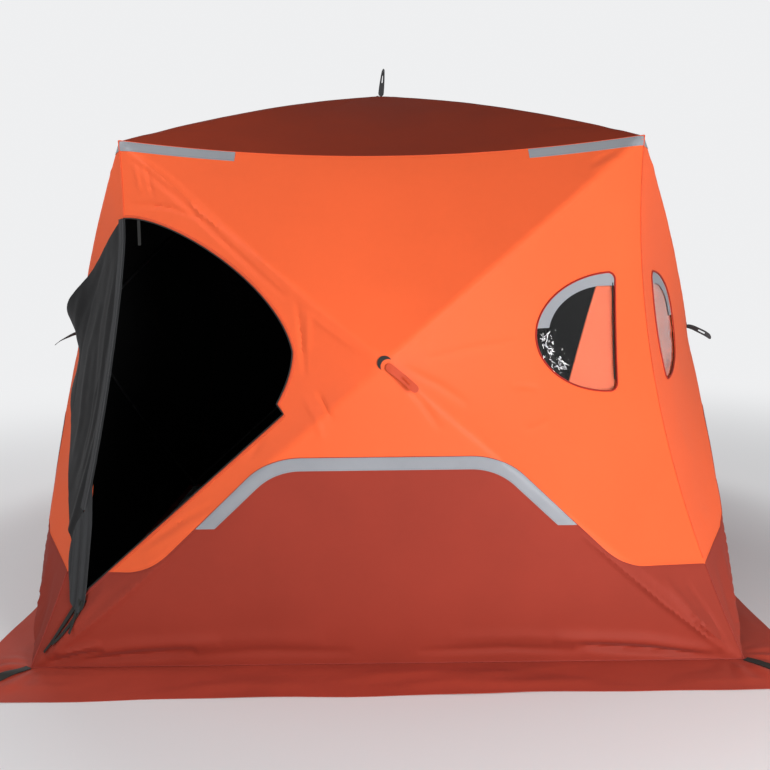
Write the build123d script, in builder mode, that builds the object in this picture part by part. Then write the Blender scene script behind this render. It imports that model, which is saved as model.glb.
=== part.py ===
from build123d import *
from math import cos, radians, sqrt, tan
import os

os.makedirs("parts", exist_ok=True)

# Pop-up ice fishing shelter with four bulging walls and a domed roof, each sprung open by a hub
# and four flexible poles. Millimetres, +Z up. The origin is on the ground in the middle of the
# base. The wall with the door faces -Y. What the four walls share is made on that front wall,
# where a point lies across (+X), out (-Y) and up, and is then turned to the other sides.

# Shell: the corners of the base and of the roof, the hubs and the cloth
base_half = 1200.0
roof_half = 900.0
roof_corner_height = 1760.0
wall_hub_reach = 1385.0
wall_hub_height = 1040.0
roof_hub_height = 2065.0
corner_bow = 95.0
roofline_sag = 55.0
wall_pole_bow = 18.0
roof_pole_bow = 26.0
hub_patch_half = 22.0
fabric = 4.0

# Snow skirt on the ground around the base, with a strap across each of its corners
skirt_width = 235.0
skirt_inside = 30.0
skirt_thickness = 3.0
anchor_strap_width = 28.0
anchor_strap_length = 300.0
anchor_strap_thickness = 2.0
anchor_strap_gap = 1.0

# Heavy lower cloth: it stays low at the corners and rises to a flat top below the hub
low_seam_height = 300.0
high_seam_height = 746.0
high_seam_half = 360.0
seam_slope = 44.0
low_seam_radius = 330.0
high_seam_radius = 240.0

# Trim that is sewn on the outside of the cloth: tapes, zip, piping and hems
trim_thickness = 1.6
trim_gap = 0.3
corner_trim_gap = 0.6
seam_tape_width = 43.0
seam_tape_low_end = 512.0
corner_tape_width = 34.0
corner_tape_length = 392.0

# Poles, the sprung hubs and the corner sockets that the poles end in
pole_radius = 5.5
pole_inset = 20.0
socket_depth = 30.0
socket_clearance = 0.3
socket_wall = 3.2
hub_front_radius = 19.0
hub_rim_radius = 46.0
hub_slope_depth = 27.0
hub_rim_depth = 11.0
hub_back_radius = 30.0
hub_back_depth = 8.0
hub_arm_length = 92.0
corner_ball_radius = 20.0
corner_arm_length = 54.0
corner_inset = 36.0
top_corner_drop = 26.0

# Door: an arched flap cut from the panel left of the hub, sewn along the corner of the hut
door_hinge_margin = 28.0
door_top_height = 1497.0
door_hinge_bend_height = 590.0
door_sill_across = 1022.0
door_sill_height = 250.0
door_arch_across = 718.0
door_arch_rise = 5.0
door_flank_across = 333.0
door_flank_height = 1280.0
door_wide_across = 288.0
door_wide_height = 1065.0
door_waist_height = 995.0
door_notch_across = 340.0
door_notch_height = 903.0
door_notch_corner_across = 316.0
door_notch_corner_height = 876.0
zip_width = 12.0
zip_pull_width = 9.0
zip_pull_length = 52.0
zip_pull_spacing = 16.0
flap_thickness = 3.0
flap_hub_lift = 52.0
tie_strap_width = 12.0
tie_strap_length = 92.0
tie_strap_across = 830.0

# Windows: a D with its straight side towards the corner of the hut
window_straight_across = 790.0
window_center_height = 1098.0
window_half_height = 197.0
window_depth = 297.0
window_corner_radius = 26.0
binding_width = 9.0
film_thickness = 1.0
film_lap = 14.0
header_band_width = 44.0
header_band_thickness = 1.5
header_band_low_end = 1120.0
cover_thickness = 1.5
cover_top_across = 746.0
cover_foot_across = 591.0

# Webbing tab and pull loop on the outside of each hub
tab_radius = 22.0
tab_bite = 10.0
tab_thickness = 2.5
loop_length = 120.0
loop_width = 26.0
loop_thickness = 3.0
loop_slot_length = 30.0
loop_slot_width = 8.0

# Sides of the hut as turns from the front, which side of its hub each window lies on, and which
# way each pull loop points: across, out and up
SIDES = {"front": 0.0, "right": 90.0, "back": 180.0, "left": 270.0}
WINDOW_RIGHT_OF_HUB = {"front": True, "right": False, "back": True, "left": False}
LOOP_DIRECTIONS = {
    "front": (0.80, 0.25, -0.54),
    "right": (0.10, 0.88, -0.46),
    "back": (-0.75, 0.25, -0.61),
    "left": (-0.10, 0.88, -0.46),
}

inward = Vector(0, 1, 0)
outward = Vector(0, -1, 0)
down = Vector(0, 0, -1)
far = 2 * base_half
corner_mitres = [Plane(origin=(0, 0, 0), z_dir=(1, 1, 0)), Plane(origin=(0, 0, 0), z_dir=(-1, 1, 0))]


def at(across, out, height):
    """A point on the front wall."""
    return Vector(across, -out, height)


def bend_through(start, middle, end):
    """The control point of the quadratic curve from start to end that passes through middle."""
    return middle * 2 - (start + end) * 0.5


def stretched_panel(inner, outer, outer_bend, ridge_bow):
    """Cloth pulled tight between two arched poles, the hub patch and one outer edge."""
    inner_mid = (inner[0] + inner[1]) * 0.5
    outer_mid = bend_through(outer[0], (outer[0] + outer[1]) * 0.5 + outer_bend, outer[1])
    ridges = [bend_through(a, (a + b) * 0.5 + ridge_bow, b) for a, b in zip(inner, outer)]
    corners = inner[0] + inner[1] + outer[0] + outer[1]
    center = (inner_mid + outer_mid + ridges[0] + ridges[1]) * 0.5 - corners * 0.25
    return Face.make_bezier_surface(
        [
            [inner[0], inner_mid, inner[1]],
            [ridges[0], center, ridges[1]],
            [outer[0], outer_mid, outer[1]],
        ]
    )


def wall_corners(growth=0.0):
    """The corners of the front wall moved out by growth: low left, low right, top right, top left."""
    low = base_half + growth
    top = roof_half + growth
    height = roof_corner_height
    return [at(-low, low, 0), at(low, low, 0), at(top, top, height), at(-top, top, height)]


def wall_patch(growth=0.0):
    """The corners of the flat patch over the front wall's hub, in the same order."""
    half = hub_patch_half
    out = wall_hub_reach + growth
    low = wall_hub_height - half
    high = wall_hub_height + half
    return [at(-half, out, low), at(half, out, low), at(half, out, high), at(-half, out, high)]


def wall_bends():
    """How far the middle of each wall edge lies off its chord: base, right, roofline, left."""
    return [
        at(0, 0, 0),
        at(-corner_bow, -corner_bow, 0),
        at(0, -roofline_sag, -roofline_sag),
        at(corner_bow, -corner_bow, 0),
    ]


def wall_panels(growth=0.0):
    """The panels of the front wall around its hub: below, right, above, left."""
    patch = wall_patch(growth)
    corners = wall_corners(growth)
    bow = at(0, wall_pole_bow, 0)
    panels = []
    for i, bend in enumerate(wall_bends()):
        j = (i + 1) % 4
        panels.append(stretched_panel([patch[i], patch[j]], [corners[i], corners[j]], bend, bow))
    return panels


def roofline_plane(growth=0.0):
    """The sloping mitre between the front wall and the roof, facing the roof."""
    return Plane(origin=at(0, roof_half + growth, roof_corner_height), z_dir=(0, 1, 1))


def wall_skin(thickness, growth=0.0):
    """A layer over the whole front wall, mitred at its edges, with its edges moved out by growth."""
    with BuildPart() as skin:
        for panel in [Face(Wire.make_polygon(wall_patch(growth))), *wall_panels(growth)]:
            extrude(panel, amount=thickness, dir=inward)
        for mitre in corner_mitres:
            split(bisect_by=mitre, keep=Keep.BOTTOM)
        split(bisect_by=roofline_plane(growth), keep=Keep.BOTTOM)
        split(bisect_by=Plane.XY.offset(skirt_thickness), keep=Keep.TOP)
    return skin.part


def laid_over_cloth(skin, gap):
    """A layer of the cloth's shape moved out onto the wall, with a gap under it."""
    return skin.moved(Location(outward * gap))


def corner_across(height):
    """How far across the wall its curved corner edge lies at a height."""
    share = height / roof_corner_height
    return base_half + (roof_half - base_half) * share - 4 * corner_bow * share * (1 - share)


def below_seam(lift=0.0):
    """Everything below the seam between the two cloths, with the seam raised by lift."""
    run = (high_seam_height - low_seam_height) / tan(radians(seam_slope))
    spread = lift * (1 / cos(radians(seam_slope)) - 1) / tan(radians(seam_slope))
    high_half = high_seam_half + spread
    low_half = high_half + run
    low = low_seam_height + lift
    high = high_seam_height + lift
    left_half = [(-far, low), (-low_half, low), (-high_half, high)]
    right_half = [(high_half, high), (low_half, low), (far, low)]
    low_radius = low_seam_radius - lift
    high_radius = high_seam_radius + lift
    radii = [low_radius, high_radius, high_radius, low_radius]
    with BuildSketch(Plane.XZ) as outline:
        with BuildLine():
            seam = FilletPolyline(*left_half, *right_half, radius=radii)
            Polyline(seam @ 1, (far, -base_half), (-far, -base_half), seam @ 0)
        make_face()
    return outline.sketch


def hinge_line():
    """Points down the door's hinge line: its top, a middle one, and the bend near its foot."""
    middle_height = (door_top_height + door_hinge_bend_height) / 2
    heights = [door_top_height, middle_height, door_hinge_bend_height]
    return [(door_hinge_margin - corner_across(height), height) for height in heights]


def door_free_edge(growth=0.0):
    """The door's edge from its hinge over the arch, in at a notch and down a long slanting foot."""
    top = (hinge_line()[0][0], door_top_height + growth)
    shoulder = (-door_arch_across, top[1] + door_arch_rise)
    flank = (-door_flank_across + growth, door_flank_height + growth)
    wide = (-door_wide_across + growth, door_wide_height)
    waist = (wide[0], door_waist_height)
    notch = (-door_notch_across + growth, door_notch_height)
    notch_corner = Vector(-door_notch_corner_across, door_notch_corner_height)
    sill = Vector(-door_sill_across, door_sill_height)
    square_off = (sill - notch_corner).normalized().rotate(Axis.Z, 90) * growth
    with BuildLine() as edge:
        Bezier(top, shoulder, flank, wide)
        Bezier(wide, waist, notch)
        Polyline(notch, notch_corner + square_off, sill + square_off)
    return Wire(edge.edges())


def door_outline():
    """The whole door, closed along its hinge line."""
    top, middle, bend = hinge_line()
    with BuildSketch(Plane.XZ) as outline:
        with BuildLine():
            add(door_free_edge())
            Line((-door_sill_across, door_sill_height), bend)
            ThreePointArc(bend, middle, top)
        make_face()
    return outline.sketch


def zip_outline():
    """A strip of the zip's width around the door's free edge."""
    inner = door_free_edge()
    outer = door_free_edge(zip_width)
    with BuildSketch(Plane.XZ) as outline:
        with BuildLine():
            add(inner)
            add(outer)
            Line(inner @ 0, outer @ 0)
            Line(inner @ 1, outer @ 1)
        make_face()
    return outline.sketch


def hub_side_of_hinge():
    """Everything on the hub's side of the door's hinge line."""
    top, middle, bend = hinge_line()
    sill = (-door_sill_across, door_sill_height)
    with BuildSketch(Plane.XZ) as outline:
        with BuildLine():
            ThreePointArc(top, middle, bend)
            Polyline(bend, sill, (sill[0], -far), (far, -far), (far, far), (top[0], far), top)
        make_face()
    return outline.sketch


def window_outline(inset=0.0):
    """The D of the window right of the hub, drawn in by inset on every side."""
    straight = window_straight_across - inset
    half = window_half_height - inset
    depth = window_depth - 2 * inset
    center = (straight, window_center_height)
    with BuildSketch(Plane.XZ) as outline:
        with BuildLine():
            arch = EllipticalCenterArc(center, depth, half, start_angle=90, arc_size=180)
            Line(arch @ 1, arch @ 0)
        make_face()
        fillet(outline.vertices(), window_corner_radius)
    return outline.sketch


def box_outline(low, high):
    """An upright rectangle between two corners given as across and up."""
    center = ((low[0] + high[0]) / 2, (low[1] + high[1]) / 2)
    with BuildSketch(Plane.XZ) as outline:
        with Locations(center):
            Rectangle(abs(high[0] - low[0]), abs(high[1] - low[1]))
    return outline.sketch


def turned(piece, turn):
    """A copy of a piece of the front wall on another side of the hut."""
    return piece.rotate(Axis.Z, turn)


def on_window_side(piece, side):
    """A window's piece on its own wall, on that wall's side of the hub."""
    if WINDOW_RIGHT_OF_HUB[side]:
        return turned(piece, SIDES[side])
    return turned(mirror(piece, about=Plane.YZ, mode=Mode.PRIVATE), SIDES[side])


def save(piece, name):
    piece.label = name
    export_step(piece, f"parts/{name}.step")


# Walls: one stretched cloth shell each, cut at the seam, the window and, in front, the door
wall_shell = wall_skin(fabric)
lower_cloth = below_seam()
door_hole = door_outline()
window_hole = window_outline()

with BuildPart() as front_wall_lower:
    add(wall_shell)
    extrude(lower_cloth, amount=far, dir=outward, mode=Mode.INTERSECT)
    extrude(door_hole, amount=far, dir=outward, mode=Mode.SUBTRACT)
save(front_wall_lower.part, "front_wall_lower")

with BuildPart() as plain_wall_lower:
    add(wall_shell)
    extrude(lower_cloth, amount=far, dir=outward, mode=Mode.INTERSECT)

with BuildPart() as window_wall_upper:
    add(wall_shell)
    extrude(lower_cloth, amount=far, dir=outward, mode=Mode.SUBTRACT)
    extrude(window_hole, amount=far, dir=outward, mode=Mode.SUBTRACT)

with BuildPart() as front_wall_upper:
    add(window_wall_upper.part)
    extrude(door_hole, amount=far, dir=outward, mode=Mode.SUBTRACT)
save(front_wall_upper.part, "front_wall_upper")

for side in ("right", "back", "left"):
    save(turned(plain_wall_lower.part, SIDES[side]), f"{side}_wall_lower")
    save(on_window_side(window_wall_upper.part, side), f"{side}_wall_upper")

# Roof: four panels down from the roof hub, mitred against the walls along the sagging roofline
front_left_corner = at(-roof_half, roof_half, roof_corner_height)
front_right_corner = at(roof_half, roof_half, roof_corner_height)
roof_patch_left = at(-hub_patch_half, hub_patch_half, roof_hub_height)
roof_patch_right = at(hub_patch_half, hub_patch_half, roof_hub_height)
front_roof_panel = stretched_panel(
    [roof_patch_left, roof_patch_right],
    [front_left_corner, front_right_corner],
    at(0, -roofline_sag, -roofline_sag),
    Vector(0, 0, roof_pole_bow),
)
with BuildPart() as roof_canopy:
    with BuildSketch(Plane.XY.offset(roof_hub_height - fabric)):
        Rectangle(2 * hub_patch_half, 2 * hub_patch_half)
    extrude(amount=fabric)
    for turn in SIDES.values():
        extrude(turned(front_roof_panel, turn), amount=fabric, dir=down)
    mitre = roofline_plane()
    for turn in SIDES.values():
        turned_mitre = Plane(mitre.origin.rotate(Axis.Z, turn), z_dir=mitre.z_dir.rotate(Axis.Z, turn))
        split(bisect_by=turned_mitre, keep=Keep.TOP)
save(roof_canopy.part, "roof_canopy")

# Snow skirt: the walls stand on its inner edge, and its strips are mitred at the corners
skirt_in = base_half - skirt_inside
skirt_out = base_half + skirt_width
with BuildPart() as front_skirt:
    with BuildSketch():
        with BuildLine():
            Polyline(
                (-skirt_in, -skirt_in),
                (skirt_in, -skirt_in),
                (skirt_out, -skirt_out),
                (-skirt_out, -skirt_out),
                close=True,
            )
        make_face()
    extrude(amount=skirt_thickness)
for side, turn in SIDES.items():
    save(turned(front_skirt.part, turn), f"{side}_snow_skirt")

# Anchor straps: webbing laid over the skirt, out from each corner of the base
strap_start = base_half + anchor_strap_gap
strap_plane = Plane(origin=at(strap_start, strap_start, skirt_thickness), x_dir=(1, -1, 0))
with BuildPart() as corner_strap:
    with BuildSketch(strap_plane):
        Rectangle(anchor_strap_length, anchor_strap_width, align=(Align.MIN, Align.CENTER))
    extrude(amount=anchor_strap_thickness)
with BuildPart() as anchor_straps:
    for turn in SIDES.values():
        add(turned(corner_strap.part, turn))
save(anchor_straps.part, "anchor_straps")

# Trim on the outer face of the cloth
trim_skin = laid_over_cloth(wall_skin(trim_thickness), trim_thickness + trim_gap)
corner_trim_skin = wall_skin(trim_thickness, trim_thickness + corner_trim_gap)

# Reflective tape over the raised part of the seam, with its ends cut level
with BuildPart() as seam_tape:
    add(trim_skin)
    extrude(lower_cloth, amount=far, dir=outward, mode=Mode.INTERSECT)
    extrude(below_seam(-seam_tape_width), amount=far, dir=outward, mode=Mode.SUBTRACT)
    split(bisect_by=Plane.XY.offset(seam_tape_low_end), keep=Keep.TOP)
with BuildPart() as seam_tapes:
    for turn in SIDES.values():
        add(turned(seam_tape.part, turn))
save(seam_tapes.part, "seam_tapes")

# Reflective tape around each top corner: a strip of both walls, joined at the corner's mitre
corner_tape_end = roof_half - corner_tape_length
with BuildSketch(Plane.XZ) as under_roofline:
    with BuildLine():
        low_left = (-roof_half, roof_corner_height - corner_tape_width)
        low_middle = (0, roof_corner_height - corner_tape_width - 2 * roofline_sag)
        low_right = (roof_half, roof_corner_height - corner_tape_width)
        Bezier(low_left, low_middle, low_right)
        Polyline(low_right, (far, low_right[1]), (far, far), (-far, far), (-far, low_left[1]), low_left)
    make_face()
with BuildPart() as corner_tape_half:
    add(corner_trim_skin)
    extrude(under_roofline.sketch, amount=far, dir=outward, mode=Mode.INTERSECT)
    split(bisect_by=Plane.YZ.offset(corner_tape_end), keep=Keep.TOP)
with BuildPart() as corner_tapes:
    for turn in SIDES.values():
        add(turned(corner_tape_half.part, turn))
        add(turned(mirror(corner_tape_half.part, about=Plane.YZ, mode=Mode.PRIVATE), turn))
save(corner_tapes.part, "corner_tapes")

# Door: its flap hangs open, folded back around the corner onto the left wall, inside out
corner_mirror = Plane(origin=(0, 0, 0), z_dir=(1, -1, 0))
lift = at(0, flap_hub_lift, 0)
patch_left = [wall_patch()[3] + lift, wall_patch()[0] + lift]
corners_left = [wall_corners()[3], wall_corners()[0]]
lifted_panel = stretched_panel(patch_left, corners_left, wall_bends()[3], at(0, wall_pole_bow, 0))
with BuildPart() as door_flap:
    extrude(lifted_panel, amount=flap_thickness, dir=outward)
    extrude(door_hole, amount=far, dir=outward, mode=Mode.INTERSECT)
save(mirror(door_flap.part, about=corner_mirror), "door_flap")

# The hem that hinges the flap runs round the corner from the opening to the flap
top_hinge, middle_hinge, foot_hinge = hinge_line()
with BuildPart() as hinge_hem_half:
    add(corner_trim_skin)
    extrude(hub_side_of_hinge(), amount=far, dir=outward, mode=Mode.SUBTRACT)
    split(bisect_by=Plane.XY.offset(foot_hinge[1]), keep=Keep.TOP)
    split(bisect_by=Plane.XY.offset(top_hinge[1]), keep=Keep.BOTTOM)
    split(bisect_by=Plane.YZ, keep=Keep.BOTTOM)
with BuildPart() as door_hinge_hem:
    add(hinge_hem_half.part)
    mirror(hinge_hem_half.part, about=corner_mirror)
save(door_hinge_hem.part, "door_hinge_hem")

# Zip along the free edge of the opening, with two pulls hanging at its foot
with BuildPart() as door_zip:
    add(trim_skin)
    extrude(zip_outline(), amount=far, dir=outward, mode=Mode.INTERSECT)
save(door_zip.part, "door_zip")

pull_top = door_sill_height - zip_width - trim_gap
pull_left = -door_sill_across
with BuildSketch(Plane.XZ) as pull_outlines:
    with Locations((pull_left, pull_top), (pull_left + zip_pull_spacing, pull_top)):
        Rectangle(zip_pull_width, zip_pull_length, align=(Align.MIN, Align.MAX))
with BuildPart() as door_zip_pulls:
    add(trim_skin)
    extrude(pull_outlines.sketch, amount=far, dir=outward, mode=Mode.INTERSECT)
save(door_zip_pulls.part, "door_zip_pulls")

# Tie strap that hangs from the top of the opening
tie_low = (-tie_strap_across - tie_strap_width, door_top_height - tie_strap_length)
tie_high = (-tie_strap_across, door_top_height)
with BuildPart() as door_tie_strap:
    add(wall_shell)
    extrude(door_hole, amount=far, dir=outward, mode=Mode.INTERSECT)
    extrude(box_outline(tie_low, tie_high), amount=far, dir=outward, mode=Mode.INTERSECT)
save(door_tie_strap.part, "door_tie_strap")

# Windows: piping on the cloth, a clear film behind it, a reflective band and a cloth cover
with BuildPart() as window_binding:
    add(trim_skin)
    extrude(window_outline(-binding_width), amount=far, dir=outward, mode=Mode.INTERSECT)
    extrude(window_hole, amount=far, dir=outward, mode=Mode.SUBTRACT)
with BuildPart() as window_bindings:
    for side in SIDES:
        add(on_window_side(window_binding.part, side))
save(window_bindings.part, "window_bindings")

film_depth = fabric + trim_gap
with BuildPart() as window_film:
    add(laid_over_cloth(wall_skin(film_thickness), -film_depth))
    extrude(window_outline(-film_lap), amount=far, dir=outward, mode=Mode.INTERSECT)
for side in SIDES:
    save(on_window_side(window_film.part, side), f"{side}_window_film")

header_low_side = window_center_height + window_half_height - header_band_width
below_header = box_outline((window_straight_across - header_band_width, 0), (far, header_low_side))
below_header += box_outline((0, 0), (far, header_band_low_end))
with BuildPart() as header_band:
    add(laid_over_cloth(wall_skin(header_band_thickness), header_band_thickness + trim_gap - film_depth))
    extrude(window_outline(trim_gap), amount=far, dir=outward, mode=Mode.INTERSECT)
    extrude(window_outline(header_band_width), amount=far, dir=outward, mode=Mode.SUBTRACT)
    extrude(below_header, amount=far, dir=outward, mode=Mode.SUBTRACT)
with BuildPart() as window_header_bands:
    for side in SIDES:
        add(on_window_side(header_band.part, side))
save(window_header_bands.part, "window_header_bands")

cover_top = (cover_top_across, window_center_height + window_half_height + film_lap)
cover_foot = (cover_foot_across, window_center_height - window_half_height - film_lap)
with BuildSketch(Plane.XZ) as corner_side_of_fold:
    with BuildLine():
        Polyline(cover_foot, cover_top, (far, cover_top[1]), (far, cover_foot[1]), close=True)
    make_face()
with BuildPart() as window_cover:
    add(laid_over_cloth(wall_skin(cover_thickness), -film_depth - film_thickness - trim_gap))
    extrude(window_outline(-film_lap), amount=far, dir=outward, mode=Mode.INTERSECT)
    extrude(corner_side_of_fold.sketch, amount=far, dir=outward, mode=Mode.INTERSECT)
with BuildPart() as window_covers:
    for side in SIDES:
        add(on_window_side(window_cover.part, side))
save(window_covers.part, "window_covers")


def pole_line(start, ridge_middle, end, inset):
    """The arc that a pole's axis follows behind its ridge, from the hub to its corner socket."""
    return Edge.make_three_point_arc(start + inset, ridge_middle + inset, end)


def rod_along(line):
    """A pole: a round rod that ends inside the hub's arm and inside the corner socket."""
    start = (hub_arm_length - socket_depth + socket_clearance) / line.length
    end = 1 - (corner_arm_length - socket_depth + socket_clearance) / line.length
    path = line.trim(start, end)
    with BuildPart() as rod:
        with BuildSketch(Plane(origin=path @ 0, z_dir=path % 0)):
            Circle(pole_radius)
        sweep(path=path)
    return rod.part


def arm_plane(line, reach, from_hub):
    """The mouth of the socket arm on a pole's line, facing along the pole away from its root."""
    if from_hub:
        return Plane(origin=line @ (reach / line.length), z_dir=line % (reach / line.length))
    share = 1 - reach / line.length
    return Plane(origin=line @ share, z_dir=(line % share) * -1)


def sprung_hub(face, lines):
    """A hub with its front on the cloth at the given plane, and a socket arm for each pole."""
    profile_plane = Plane(origin=face.origin, x_dir=face.x_dir, z_dir=face.y_dir * -1)
    back = -hub_slope_depth - hub_rim_depth
    with BuildPart() as hub:
        with BuildSketch(profile_plane):
            with BuildLine():
                Polyline(
                    (0, 0),
                    (hub_front_radius, 0),
                    (hub_rim_radius, -hub_slope_depth),
                    (hub_rim_radius, back),
                    (hub_back_radius, back - hub_back_depth),
                    (0, back - hub_back_depth),
                    close=True,
                )
            make_face()
        revolve(axis=Axis(face.origin, face.z_dir))
        for line in lines:
            with BuildSketch(arm_plane(line, hub_arm_length, True)):
                Circle(pole_radius + socket_clearance + socket_wall)
            extrude(amount=-hub_arm_length)
        for line in lines:
            with BuildSketch(arm_plane(line, hub_arm_length, True)):
                Circle(pole_radius + socket_clearance)
            extrude(amount=-socket_depth, mode=Mode.SUBTRACT)
    return hub.part


def corner_socket(center, lines):
    """A ball inside a corner of the cloth, with a socket arm towards each pole that ends there."""
    with BuildPart() as socket:
        with Locations(center):
            Sphere(corner_ball_radius)
        for line in lines:
            with BuildSketch(arm_plane(line, corner_arm_length, False)):
                Circle(pole_radius + socket_clearance + socket_wall)
            extrude(amount=-corner_arm_length)
        for line in lines:
            with BuildSketch(arm_plane(line, corner_arm_length, False)):
                Circle(pole_radius + socket_clearance)
            extrude(amount=-socket_depth, mode=Mode.SUBTRACT)
    return socket.part


# Frame: four poles run from each hub, behind the ridges of the cloth, to the corner sockets
base_inset = base_half - corner_inset
base_ball_height = skirt_thickness + trim_gap + corner_ball_radius
top_inset = roof_half - corner_inset
top_ball_height = roof_corner_height - top_corner_drop
wall_ends = [
    at(-base_inset, base_inset, base_ball_height),
    at(base_inset, base_inset, base_ball_height),
    at(top_inset, top_inset, top_ball_height),
    at(-top_inset, top_inset, top_ball_height),
]
wall_lines = []
for patch_corner, corner, end in zip(wall_patch(), wall_corners(), wall_ends):
    ridge_middle = (patch_corner + corner) * 0.5 + at(0, wall_pole_bow, 0)
    wall_lines.append(pole_line(patch_corner, ridge_middle, end, inward * pole_inset))
low_left_line, low_right_line, top_right_line, top_left_line = wall_lines

roof_ridge_middle = (roof_patch_right + front_right_corner) * 0.5 + Vector(0, 0, roof_pole_bow)
roof_line = pole_line(roof_patch_right, roof_ridge_middle, wall_ends[2], down * pole_inset)

with BuildPart() as front_wall_poles:
    for line in wall_lines:
        add(rod_along(line))
with BuildPart() as roof_poles:
    for turn in SIDES.values():
        add(turned(rod_along(roof_line), turn))
save(roof_poles.part, "roof_poles")

wall_hub_face = Plane(
    origin=at(0, wall_hub_reach - fabric, wall_hub_height), x_dir=(1, 0, 0), z_dir=outward
)
front_wall_hub = sprung_hub(wall_hub_face, wall_lines)
roof_hub = sprung_hub(
    Plane.XY.offset(roof_hub_height - fabric), [turned(roof_line, turn) for turn in SIDES.values()]
)
save(roof_hub, "roof_hub")
for side, turn in SIDES.items():
    save(turned(front_wall_poles.part, turn), f"{side}_wall_poles")
    save(turned(front_wall_hub, turn), f"{side}_wall_hub")

next_side = SIDES["right"]
top_socket = corner_socket(wall_ends[2], [top_right_line, turned(top_left_line, next_side), roof_line])
base_socket = corner_socket(wall_ends[1], [low_right_line, turned(low_left_line, next_side)])
with BuildPart() as top_corner_sockets:
    for turn in SIDES.values():
        add(turned(top_socket, turn))
save(top_corner_sockets.part, "top_corner_sockets")
with BuildPart() as base_corner_sockets:
    for turn in SIDES.values():
        add(turned(base_socket, turn))
save(base_corner_sockets.part, "base_corner_sockets")


def hub_tab(face):
    """A crescent of webbing sewn on the cloth over a hub."""
    with BuildPart() as tab:
        with BuildSketch(face):
            Circle(tab_radius)
            with Locations((tab_bite, -tab_bite)):
                Circle(tab_radius, mode=Mode.SUBTRACT)
        extrude(amount=tab_thickness)
    return tab.part


def pull_loop(root, direction):
    """A stiff folded loop of cloth with a slot, running out from its root."""
    level = direction.cross(Vector(0, 1, 0)).normalized()
    with BuildPart() as loop:
        with BuildSketch(Plane(origin=root, x_dir=direction, z_dir=direction.cross(level))):
            with Locations((loop_length / 2, 0)):
                SlotOverall(loop_length, loop_width)
            with Locations((loop_length / 2, 0)):
                SlotOverall(loop_slot_length, loop_slot_width, mode=Mode.SUBTRACT)
        extrude(amount=loop_thickness / 2, both=True)
    return loop.part


wall_tab_face = Plane(origin=at(0, wall_hub_reach, wall_hub_height), x_dir=(1, 0, 0), z_dir=outward)
roof_tab_face = Plane.XY.offset(roof_hub_height)
with BuildPart() as hub_tabs:
    for turn in SIDES.values():
        add(turned(hub_tab(wall_tab_face), turn))
    add(hub_tab(roof_tab_face))
save(hub_tabs.part, "hub_tabs")

with BuildPart() as pull_loops:
    for side, turn in SIDES.items():
        across, out, up = LOOP_DIRECTIONS[side]
        clearance = trim_gap + loop_thickness / 2 * sqrt(1 - out**2)
        root = at(0, wall_hub_reach + clearance, wall_hub_height)
        add(turned(pull_loop(root, at(across, out, up)), turn))
    add(pull_loop(Vector(0, 0, roof_hub_height + trim_gap), Vector(0.2, 0, 1)))
save(pull_loops.part, "pull_loops")
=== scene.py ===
# %% [markdown]
# A pop-up ice fishing shelter has four walls and a roof of coated cloth, and each of them is
# pushed outward by four bent poles that meet in a hub. The frame gives the places and sizes.
# This script sews the cloth again with its folds, seams, tapes and weave, and lights the scene.

# %% Load the frame
from math import acos, cos, pi, radians, sin, tan

import bpy
import numpy as np
from mathutils import Matrix, Vector, noise
from mathutils.bvhtree import BVHTree
from mathutils.geometry import delaunay_2d_cdt
from mathutils.kdtree import KDTree


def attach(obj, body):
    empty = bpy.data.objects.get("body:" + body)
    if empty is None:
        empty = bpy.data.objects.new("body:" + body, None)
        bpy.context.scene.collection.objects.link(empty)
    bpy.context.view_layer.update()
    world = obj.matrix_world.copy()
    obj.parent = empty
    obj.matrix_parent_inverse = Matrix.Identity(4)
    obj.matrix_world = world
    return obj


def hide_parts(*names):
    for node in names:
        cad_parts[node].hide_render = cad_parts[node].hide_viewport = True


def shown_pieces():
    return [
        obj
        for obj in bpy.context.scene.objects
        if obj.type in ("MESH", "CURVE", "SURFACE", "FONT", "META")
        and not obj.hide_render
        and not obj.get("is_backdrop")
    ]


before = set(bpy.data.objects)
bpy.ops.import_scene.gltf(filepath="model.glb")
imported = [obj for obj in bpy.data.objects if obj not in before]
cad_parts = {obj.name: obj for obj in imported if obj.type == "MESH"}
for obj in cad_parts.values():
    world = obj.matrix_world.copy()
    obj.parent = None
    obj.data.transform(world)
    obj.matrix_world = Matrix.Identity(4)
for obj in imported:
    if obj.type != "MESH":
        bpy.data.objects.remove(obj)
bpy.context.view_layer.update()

print("frame:", len(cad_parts), "nodes")

# %% [markdown]
# The camera stands four metres in front of the door wall, a little lower than the eaves, and
# looks slightly down. Its place comes from the corners and hubs, which fix a lens of 40 mm.

# %% Camera
CAMERA_PLACE = Vector((-0.007, -3.89, 1.327))
CAMERA_YAW = 0.003
CAMERA_PITCH = 0.14
CAMERA_ROLL = -0.011
LENS = 39.62
SENSOR = 36.0

ahead = Vector((sin(CAMERA_YAW), cos(CAMERA_YAW), 0))
forward = ahead * cos(CAMERA_PITCH) - Vector((0, 0, sin(CAMERA_PITCH)))
level = Vector((cos(CAMERA_YAW), -sin(CAMERA_YAW), 0))
upright = level.cross(forward)
camera_right = level * cos(CAMERA_ROLL) + upright * sin(CAMERA_ROLL)
camera_up = upright * cos(CAMERA_ROLL) - level * sin(CAMERA_ROLL)

camera_data = bpy.data.cameras.new("camera")
camera_data.lens = LENS
camera_data.sensor_width = SENSOR
camera = bpy.data.objects.new("camera", camera_data)
turn = Matrix((camera_right, camera_up, -forward)).transposed().to_4x4()
camera.matrix_world = Matrix.Translation(CAMERA_PLACE) @ turn
bpy.context.scene.collection.objects.link(camera)
bpy.context.scene.camera = camera
bpy.context.scene.view_settings.view_transform = "Standard"
print("camera:", tuple(CAMERA_PLACE), "lens", LENS)

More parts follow.
